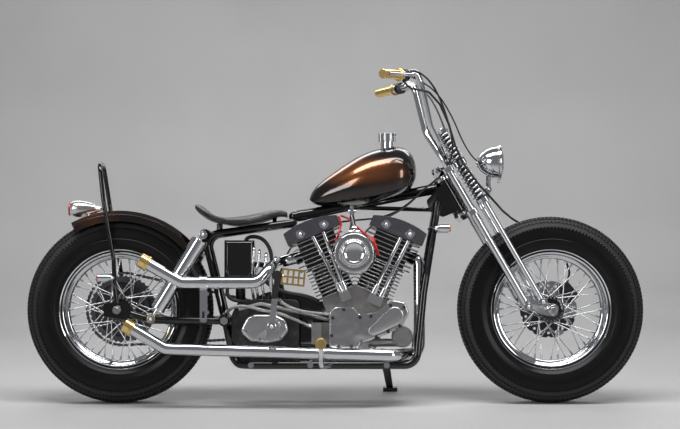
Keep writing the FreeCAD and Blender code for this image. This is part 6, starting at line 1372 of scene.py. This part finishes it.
@dataclass
class Plumbing:
    """Oil lines, hoses and fastenings on the chassis."""
    line: float = 0.0052
    line_ends: Pairs = ((-0.292, -0.300), (-0.272, -0.284), (-0.248, -0.262),
                                                  (-0.214, -0.232))
    feed: float = 0.0058
    feed_routes: tuple[Route, ...] = (
        ((-0.400, -0.062, 0.318), (-0.372, -0.100, 0.348), (-0.320, -0.116, 0.352), (-0.262, -0.118, 0.336),
         (-0.200, -0.118, 0.326), (-0.140, -0.112, 0.300), (-0.088, -0.088, 0.278)),
        ((-0.205, -0.064, 0.372), (-0.176, -0.100, 0.352), (-0.130, -0.112, 0.334), (-0.080, -0.108, 0.326),
         (-0.030, -0.082, 0.322)))
    dark_routes: tuple[tuple[float, Route], ...] = (
        (0.0085, ((-0.294, -0.030, 0.452), (-0.262, -0.030, 0.450), (-0.226, -0.032, 0.418), (-0.180, -0.034, 0.396),
                  (-0.120, -0.034, 0.388), (-0.070, -0.030, 0.372), (-0.040, -0.028, 0.350))),
        (0.0070, ((-0.330, -0.024, 0.560), (-0.328, -0.024, 0.592), (-0.296, -0.026, 0.604), (-0.252, -0.030, 0.588),
                  (-0.226, -0.034, 0.530), (-0.236, -0.036, 0.450), (-0.226, -0.034, 0.396),
                  (-0.222, -0.030, 0.366))),
        (0.0095, ((-0.294, 0.026, 0.500), (-0.256, 0.026, 0.502), (-0.212, 0.028, 0.470), (-0.196, 0.030, 0.424),
                  (-0.190, 0.030, 0.366))),
        (0.0070, ((-0.384, -0.080, 0.424), (-0.392, -0.084, 0.396), (-0.372, -0.086, 0.372), (-0.330, -0.070, 0.366),
                  (-0.300, -0.050, 0.360))))
    acorns: Pairs = ((-0.469, 0.604), (-0.654, 0.304))
    cover_screws: Pairs = ((-0.318, 0.262), (-0.270, 0.232), (-0.196, 0.236),
                                                     (-0.180, 0.290), (-0.270, 0.310))

    def oil_lines(self) -> None:
        """Chrome lines that drop from the oil tank to the gearbox's top."""
        lines = []
        for index, (ahead, foot) in enumerate(self.line_ends):
            side, top = -0.094 - 0.004 * (index % 2), 0.560 - 0.012 * index
            way = [(ahead, -0.060, top), (ahead, side, top + 0.006), (ahead, side - 0.006, top - 0.030),
                   (foot, side - 0.004, 0.470), (foot, side + 0.004, 0.420),
                   (foot + 0.006, -0.060, 0.384), (foot + 0.006, -0.040, 0.366)]
            lines.append(tube_form(way, self.line))
        new_object("oil_lines", merged(lines), CHROME, smooth=60.0)

    def hoses(self) -> None:
        """Black return and vent hoses, and braided feed hoses with a hexagon fitting at each end."""
        dark = merged([tube_form(route, radius) for radius, route in self.dark_routes])
        new_object("dark_hoses", dark, BLACK_RUBBER, smooth=60.0)
        fittings = bmesh.new()
        for route in self.feed_routes:
            for end, inner in (route[:2], route[:-3:-1]):
                end = Vector(end)
                out = (Vector(inner) - end).normalized()
                for start, stop, radius, sides in ((-0.006, 0.012, 0.0092, 6), (0.012, 0.022, 0.0078, 16)):
                    add_rod(fittings, end + out * start, end + out * stop, radius, sides)
        feeds = merged([tube_form(route, self.feed) for route in self.feed_routes])
        new_object("feed_hoses", feeds, BRAID, smooth=60.0)
        new_object("hose_fittings", fittings, STEEL, smooth=40.0)

    def fastenings(self) -> None:
        """Shock, swingarm, hanger and kick lever nuts, and the kick cover's screws."""
        nuts = bmesh.new()
        for side in SIDES:
            for ahead, up in self.acorns:
                add_acorn(nuts, (ahead, side * 0.1625, up), LEFT * side, 0.0085)
            add_bolt(nuts, (-0.396, side * 0.120, 0.298), LEFT * side, 0.015)
        for up in (0.330, 0.395):
            add_bolt(nuts, (-0.4505, -0.2265, up), RIGHT, 0.0065)
        add_acorn(nuts, (-0.222, -0.2515, 0.281), RIGHT, 0.0095)
        screws = [cap_screw((ahead, -0.1058, up), RIGHT, 0.0045) for ahead, up in self.cover_screws]
        new_object("chassis_nuts", merged([nuts, *screws]), CHROME)

    def build(self) -> None:
        """Adds the lines, the hoses and the fastenings."""
        self.oil_lines()
        self.hoses()
        self.fastenings()


@dataclass
class LeftSide:
    """What the left of the machine shows: two inspection covers of the primary cover, and their screws."""
    outer: float = 0.162
    step: float = 0.016
    covers: Triples = ((-0.222, 0.290, 0.058), (0.071, 0.252, 0.036))
    section: Pairs = (
        (-0.004, 1.0), (0.0015, 1.0), (0.004, 0.96), (0.0045, 0.86), (0.0030, 0.80), (0.0035, 0.45), (0.0050, 0.0))

    def build(self) -> None:
        """Adds the covers and screws."""
        covers, screws = [], []
        for ahead, up, radius in self.covers:
            face = self.outer + (self.step if ahead < 0 else 0.0)
            outline = [(y, radius * share) for y, share in self.section]
            covers.append(moved(spun(outline, 72, closed=False), at((ahead, face, up))))
            screws += [cap_screw(spot, LEFT, 0.0034)
                       for spot in ring_points((ahead, face + 0.0035, up), radius * 0.91, 5)]
        new_object("primary_inspection_covers", merged(covers), CHROME)
        new_object("primary_screws", merged(screws), DARK_STEEL)


@dataclass
class FrameTrim:
    """Rounded tube ends, cast joints and engine mounts of the frame."""
    backbone: tuple[Point, Point] = ((-0.150, 0.0, 0.6745), (0.36, 0.0, 0.7610))
    joints: Pairs = ((-0.396, 0.298), (-0.469, 0.604))
    mounts: tuple[float, ...] = (0.1835, -0.0888, -0.300)

    def build(self) -> None:
        """Adds the backbone's domed end, sleeves at the joints and the mounting bolts."""
        black, bolts = bmesh.new(), bmesh.new()
        start, ahead = (Vector(end) for end in self.backbone)
        along = (ahead - start).normalized()
        add_ball(black, at(start), 0.0192, 28, 14)
        add_rod(black, start + along * 0.012, start + along * 0.045, 0.0212, 32)
        for side in SIDES:
            for x, z in self.joints:
                joint = Vector((x, side * 0.055, z))
                add_rod(black, joint - LEFT * 0.019, joint + LEFT * 0.019, 0.0225, 32)
            for x in self.mounts:
                add_bolt(bolts, (x, side * 0.1275, 0.140), LEFT * side, 0.0085)
            post = Vector((-0.420, side * 0.050, 0.612))
            add_rod(black, post, post + UP * 0.034, 0.008, 14)
        new_object("frame_joints", black, BLACK_ENAMEL, smooth=45.0)
        new_object("frame_bolts", bolts, CHROME)


@dataclass
class BrakeTrim:
    """Bolts of both brakes, each group as its body, its points and the size of its bolts."""
    groups: dict[str, tuple[Body, list[Vector], float]] = field(default_factory=lambda: {
        "disc_bolts": (Body.FRONT_WHEEL, ring_points((HALF_BASE, 0.0525, TYRE_RADIUS), 0.052, 5), 0.0052),
        "sprocket_bolts": (Body.REAR_WHEEL, ring_points((-HALF_BASE, 0.0875, TYRE_RADIUS), 0.088, 10), 0.0055),
        "calliper_bolts": (Body.FORK, [Vector((0.826, 0.0815, 0.412)), Vector((0.862, 0.0815, 0.376))], 0.0062)})

    def build(self) -> None:
        """Adds the bolts, which all point to the left."""
        for name, (body, spots, radius) in self.groups.items():
            form = bmesh.new()
            for spot in spots:
                add_bolt(form, spot, LEFT, radius)
            new_object(name, form, STEEL, body)


@dataclass
class SecondFinishes:
    """The second finish that some pieces have in the photograph, and the faces that get it."""
    kick_arm_top: float = 0.378
    tail_lamp_foot: float = 0.672
    shock_foot: Point = (-0.654, 0.322)
    shock_half: float = 0.024
    cover_face: float = -0.1095
    cleaner_face: float = -0.185
    cleaner_radius: float = 0.068
    drum_face: float = 0.079
    disc_from: float = 0.072

    @staticmethod
    def off(middle: Vector, ahead: float, up: float) -> float:
        """Distance of a face's middle from an axis across the machine."""
        return math.hypot(middle.x - ahead, middle.z - up)

    def build(self, pieces: dict[str, Piece]) -> None:
        """Gives the faces their finish.

        Args:
            pieces: The finished copies by node name.
        """
        split(pieces["kick_arm"], self.kick_arm_top)
        split(pieces["tail_lamp"], self.tail_lamp_foot)
        for name, finish, chosen in (
                ("corner_lenses", AMBER_LENS, lambda middle, normal: middle.x > 0),
                ("kick_arm", BLACK_SATIN, lambda middle, normal: middle.z > self.kick_arm_top),
                ("rear_shocks", BRASS, lambda middle, normal: middle.z < self.shock_foot[1]
                 and abs(middle.x - self.shock_foot[0]) < self.shock_half),
                ("tail_lamp", PALE_PLATE, lambda middle, normal: middle.z < self.tail_lamp_foot),
                ("cam_cover", COVER_ALLOY, lambda middle, normal: normal.y < -0.98 and middle.y < self.cover_face),
                ("air_cleaner", DARK_CHROME, lambda middle, normal: middle.y < self.cleaner_face
                 and self.off(middle, AIR_CLEANER.x, AIR_CLEANER.z) < self.cleaner_radius),
                ("rear_drum", DARK_STEEL, lambda middle, normal: middle.y > self.drum_face),
                ("front_disc", STEEL, lambda middle, normal: abs(normal.y) > 0.9
                 and self.off(middle, HALF_BASE, TYRE_RADIUS) > self.disc_from)):
            accented(pieces[name], finish, chosen)


@dataclass
class Studio:
    """Pale floor, soft lights and the camera at the photograph's viewpoint."""
    tone: float = 0.46
    mottle: tuple[float, float] = (0.93, 1.05)
    # Strength and reach of the painted glow that the far paper emits.
    painted_glow: float = 0.16
    painted_glow_reach: tuple[float, float] = (3.0, 9.0)
    sheet: Pairs = ((-22.0, 0.0), (2.2, 0.0), (2.9, 0.12), (3.35, 0.5), (3.5, 1.2),
                                              (3.5, 7.0))
    half_width: float = 18.0
    camera_place: tuple[float, float, float] = (0.017, -6.85, 1.04)
    pitch: float = 3.03
    lens: float = 99.4
    sensor: float = 36.0
    sight: float = 60.0
    paper_roughness: float = 0.55
    lamps: tuple[tuple[str, Point, Point, tuple[float, float], float], ...] = (
        ("overhead", (0.0, -0.9, 3.4), (0.0, 0.0, 0.4), (4.2, 0.9), 138.0),
        ("front_left", (-3.6, -4.2, 2.2), (-0.2, 0.0, 0.5), (1.0, 2.4), 66.0),
        ("front_right", (3.8, -4.0, 2.0), (0.3, 0.0, 0.5), (1.0, 2.4), 54.0),
        ("back", (0.0, 2.4, 3.0), (0.0, 0.0, 0.4), (5.0, 1.0), 60.0))
    air: tuple[Colour, float] = ((0.75, 0.76, 0.78), 0.12)
    backdrop: Colour = (0.20, 0.20, 0.21)

    def camera(self) -> None:
        """Places the camera."""
        data = bpy.data.cameras.new("viewpoint")
        data.lens = self.lens
        data.sensor_width = self.sensor
        data.clip_end = self.sight
        camera = in_scene("viewpoint", data)
        camera.location = self.camera_place
        camera.rotation_euler = (math.radians(90.0 - self.pitch), 0.0, 0.0)
        bpy.context.scene.camera = camera

    def paper(self) -> bpy.types.Material:
        """Mottled pale paper with a painted glow that brightens it far away, where it fades into the backdrop, and
        that is clear from behind.

        Returns:
            The material.
        """
        material = bpy.data.materials.new("pale_paper")
        material.use_nodes = True
        nodes = Nodes(material.node_tree)
        shader = nodes.tree.nodes["Principled BSDF"]
        low, high = self.mottle
        tone = nodes.add("MapRange", {"Value": nodes.noise(1.1, 5.0), "From Min": 0.3, "From Max": 0.7,
                                      "To Min": self.tone * low, "To Max": self.tone * high})
        # Painted glow: the further the paper lies from its origin, the more light it emits, only for the rays that
        # show the background.
        painted_glow = nodes.fade(nodes.place(), *self.painted_glow_reach, self.painted_glow)
        nodes.feed(shader, {"Base Color": tone.outputs["Result"], "Roughness": self.paper_roughness,
                            "Emission Color": (1.0, 1.0, 1.0, 1.0),
                            "Emission Strength": nodes.maths("MULTIPLY", painted_glow, nodes.background_rays())})
        mix = nodes.add("MixShader", {0: nodes.add("NewGeometry", {}).outputs["Backfacing"], 1: shader.outputs[0],
                                      2: nodes.add("BsdfTransparent", {}).outputs[0]})
        nodes.feed(nodes.tree.nodes["Material Output"], {"Surface": mix.outputs[0]})
        return material

    def floor(self) -> None:
        """Lays one pale sheet as floor and backdrop, curved where they meet."""
        form = bmesh.new()
        corners = [form.verts.new((-self.half_width, y, z)) for y, z in self.sheet]
        for start, end in zip(corners, corners[1:]):
            form.edges.new((start, end))
        grown = bmesh.ops.extrude_edge_only(form, edges=form.edges[:])["geom"]
        moving = [item for item in grown if isinstance(item, bmesh.types.BMVert)]
        bmesh.ops.translate(form, vec=(2 * self.half_width, 0.0, 0.0), verts=moving)
        form.normal_update()
        downward = [face for face in form.faces if face.normal.z < 0 or face.normal.y > 0.001]
        bmesh.ops.reverse_faces(form, faces=downward)
        data = written(form, bpy.data.meshes.new("studio_floor"))
        data.shade_smooth()
        data.materials.append(self.paper())
        floor = in_scene("studio_floor", data)

    def lights(self) -> None:
        """Hangs the soft lights."""
        for name, place, aim, size, power in self.lamps:
            data = bpy.data.lights.new(name, "AREA")
            data.shape = "RECTANGLE"
            data.size, data.size_y = size
            data.energy = power
            lamp = in_scene(name, data)
            lamp.location = place
            lamp.rotation_euler = (Vector(aim) - Vector(place)).to_track_quat("-Z", "Y").to_euler()

    def world(self) -> None:
        """Sets the world's plain light, and the backdrop's grey where the world itself is seen."""
        world = bpy.data.worlds.new("studio_air")
        bpy.context.scene.world = world
        world.use_nodes = True
        nodes = Nodes(world.node_tree)
        air = nodes.tree.nodes["Background"]
        colour, strength = self.air
        nodes.feed(air, {"Color": (*colour, 1.0), "Strength": strength})
        seen = nodes.add("Background", {"Color": (*self.backdrop, 1.0), "Strength": 1.0})
        mix = nodes.add("MixShader", {0: nodes.background_rays(), 1: air.outputs[0], 2: seen.outputs[0]})
        nodes.feed(nodes.tree.nodes["World Output"], {"Surface": mix.outputs[0]})

    def build(self) -> None:
        """Builds the whole studio."""
        self.camera()
        self.floor()
        self.lights()
        self.world()
        bpy.context.scene.view_settings.view_transform = "Standard"


@dataclass
class Bodywork:
    """Every CAD node whose shape stays, with its own finish and the rounding of its edges."""
    plain: dict[str, tuple[Finish, float]] = field(default_factory=lambda: {
        "main_frame": (BLACK_ENAMEL, 0.0), "swingarm": (BLACK_ENAMEL, 0.001), "rear_axle": (STEEL, 0.0008),
        "rear_shocks": (CHROME, 0.001), "engine_cases": (CAST_ALLOY, 0.0025), "cylinder_rear": (BLACK_FINS, 0.0008),
        "cylinder_front": (BLACK_FINS, 0.0008), "rocker_boxes": (SATIN_GREY, 0.002),
        "pushrod_tubes": (CHROME, 0.0006), "tappet_blocks": (POLISHED_ALLOY, 0.0015),
        "cam_cover": (POLISHED_ALLOY, 0.002), "oil_pump": (CAST_ALLOY, 0.0015), "air_cleaner": (CHROME, 0.0015),
        "carburettor": (CAST_ALLOY, 0.001), "gearbox": (DARK_AND_SHADED_CAST, 0.0025), "kick_cover": (POLISHED_ALLOY, 0.002),
        "kick_arm": (POLISHED_ALLOY, 0.0015), "kick_pedal": (BRASS, 0.0012), "primary_cover": (BLACK_ENAMEL, 0.003),
        "exhaust_pipes": (CHROME, 0.0), "exhaust_tips": (BRASS, 0.001), "pipe_hangers": (CHROME, 0.001),
        "fuel_tank": (TANK_PAINT_AND_SHADE, 0.0), "fuel_cap": (CHROME, 0.001), "oil_tank": (BLACK_ENAMEL, 0.002),
        "rear_mudguard": (GUARD_PAINT_AND_SHADE, 0.0008), "tail_lamp": (POLISHED_ALLOY, 0.0006), "tail_lens": (RED_LENS, 0.0),
        "backrest_bar": (BLACK_ENAMEL, 0.0), "corner_lamps": (CHROME, 0.0004), "corner_lenses": (RED_LENS, 0.0),
        "foot_pegs": (CHROME, 0.0008), "peg_ends": (BRASS, 0.001), "oil_hoses": (BRAID, 0.0),
        "brake_hose": (BLACK_RUBBER, 0.0), "fork_chassis": (CHROME, 0.0012), "spring_fork_legs": (CHROME, 0.0008),
        "fork_rockers": (CHROME, 0.001), "handlebar": (CHROME, 0.0), "grips": (BRASS, 0.001),
        "hand_controls": (CHROME, 0.001), "headlamp": (CHROME, 0.0006), "headlamp_lens": (CLEAR_LENS, 0.0),
        "front_calliper": (BLACK_SATIN, 0.002), "front_disc": (BLACK_SATIN, 0.0005),
        "rear_drum": (BLACK_SATIN, 0.001), "side_stand": (BLACK_ENAMEL, 0.001)})
    slots: dict[str, str] = field(default_factory=lambda: {
        "fuel_cap": "black_enamel", "hand_controls": "black_enamel"})

    def build(self) -> dict[str, Piece]:
        """Dresses the nodes.

        Returns:
            The finished copies by node name.
        """
        return {node: dressed(node, finish, edge)
                for node, (finish, edge) in self.plain.items()}


def main() -> None:
    logging.basicConfig(level=logging.INFO, format="%(name)s: %(message)s")
    Studio().build()
    pieces = Bodywork().build()
    for front in (True, False):
        Tyre(front).build()
        WireWheel(front).build()
    Saddle().build()
    SecondFinishes().build(pieces)
    for trim in (ForkSprings(), RollerChain(), EngineTrim(pieces), Headlight(pieces), Controls(), ForkTrim(),
                 Plumbing(), LeftSide(), FrameTrim(), BrakeTrim()):
        trim.build()
    log.info("%d dressed nodes", len(pieces))


if __name__ == "__main__":
    main()
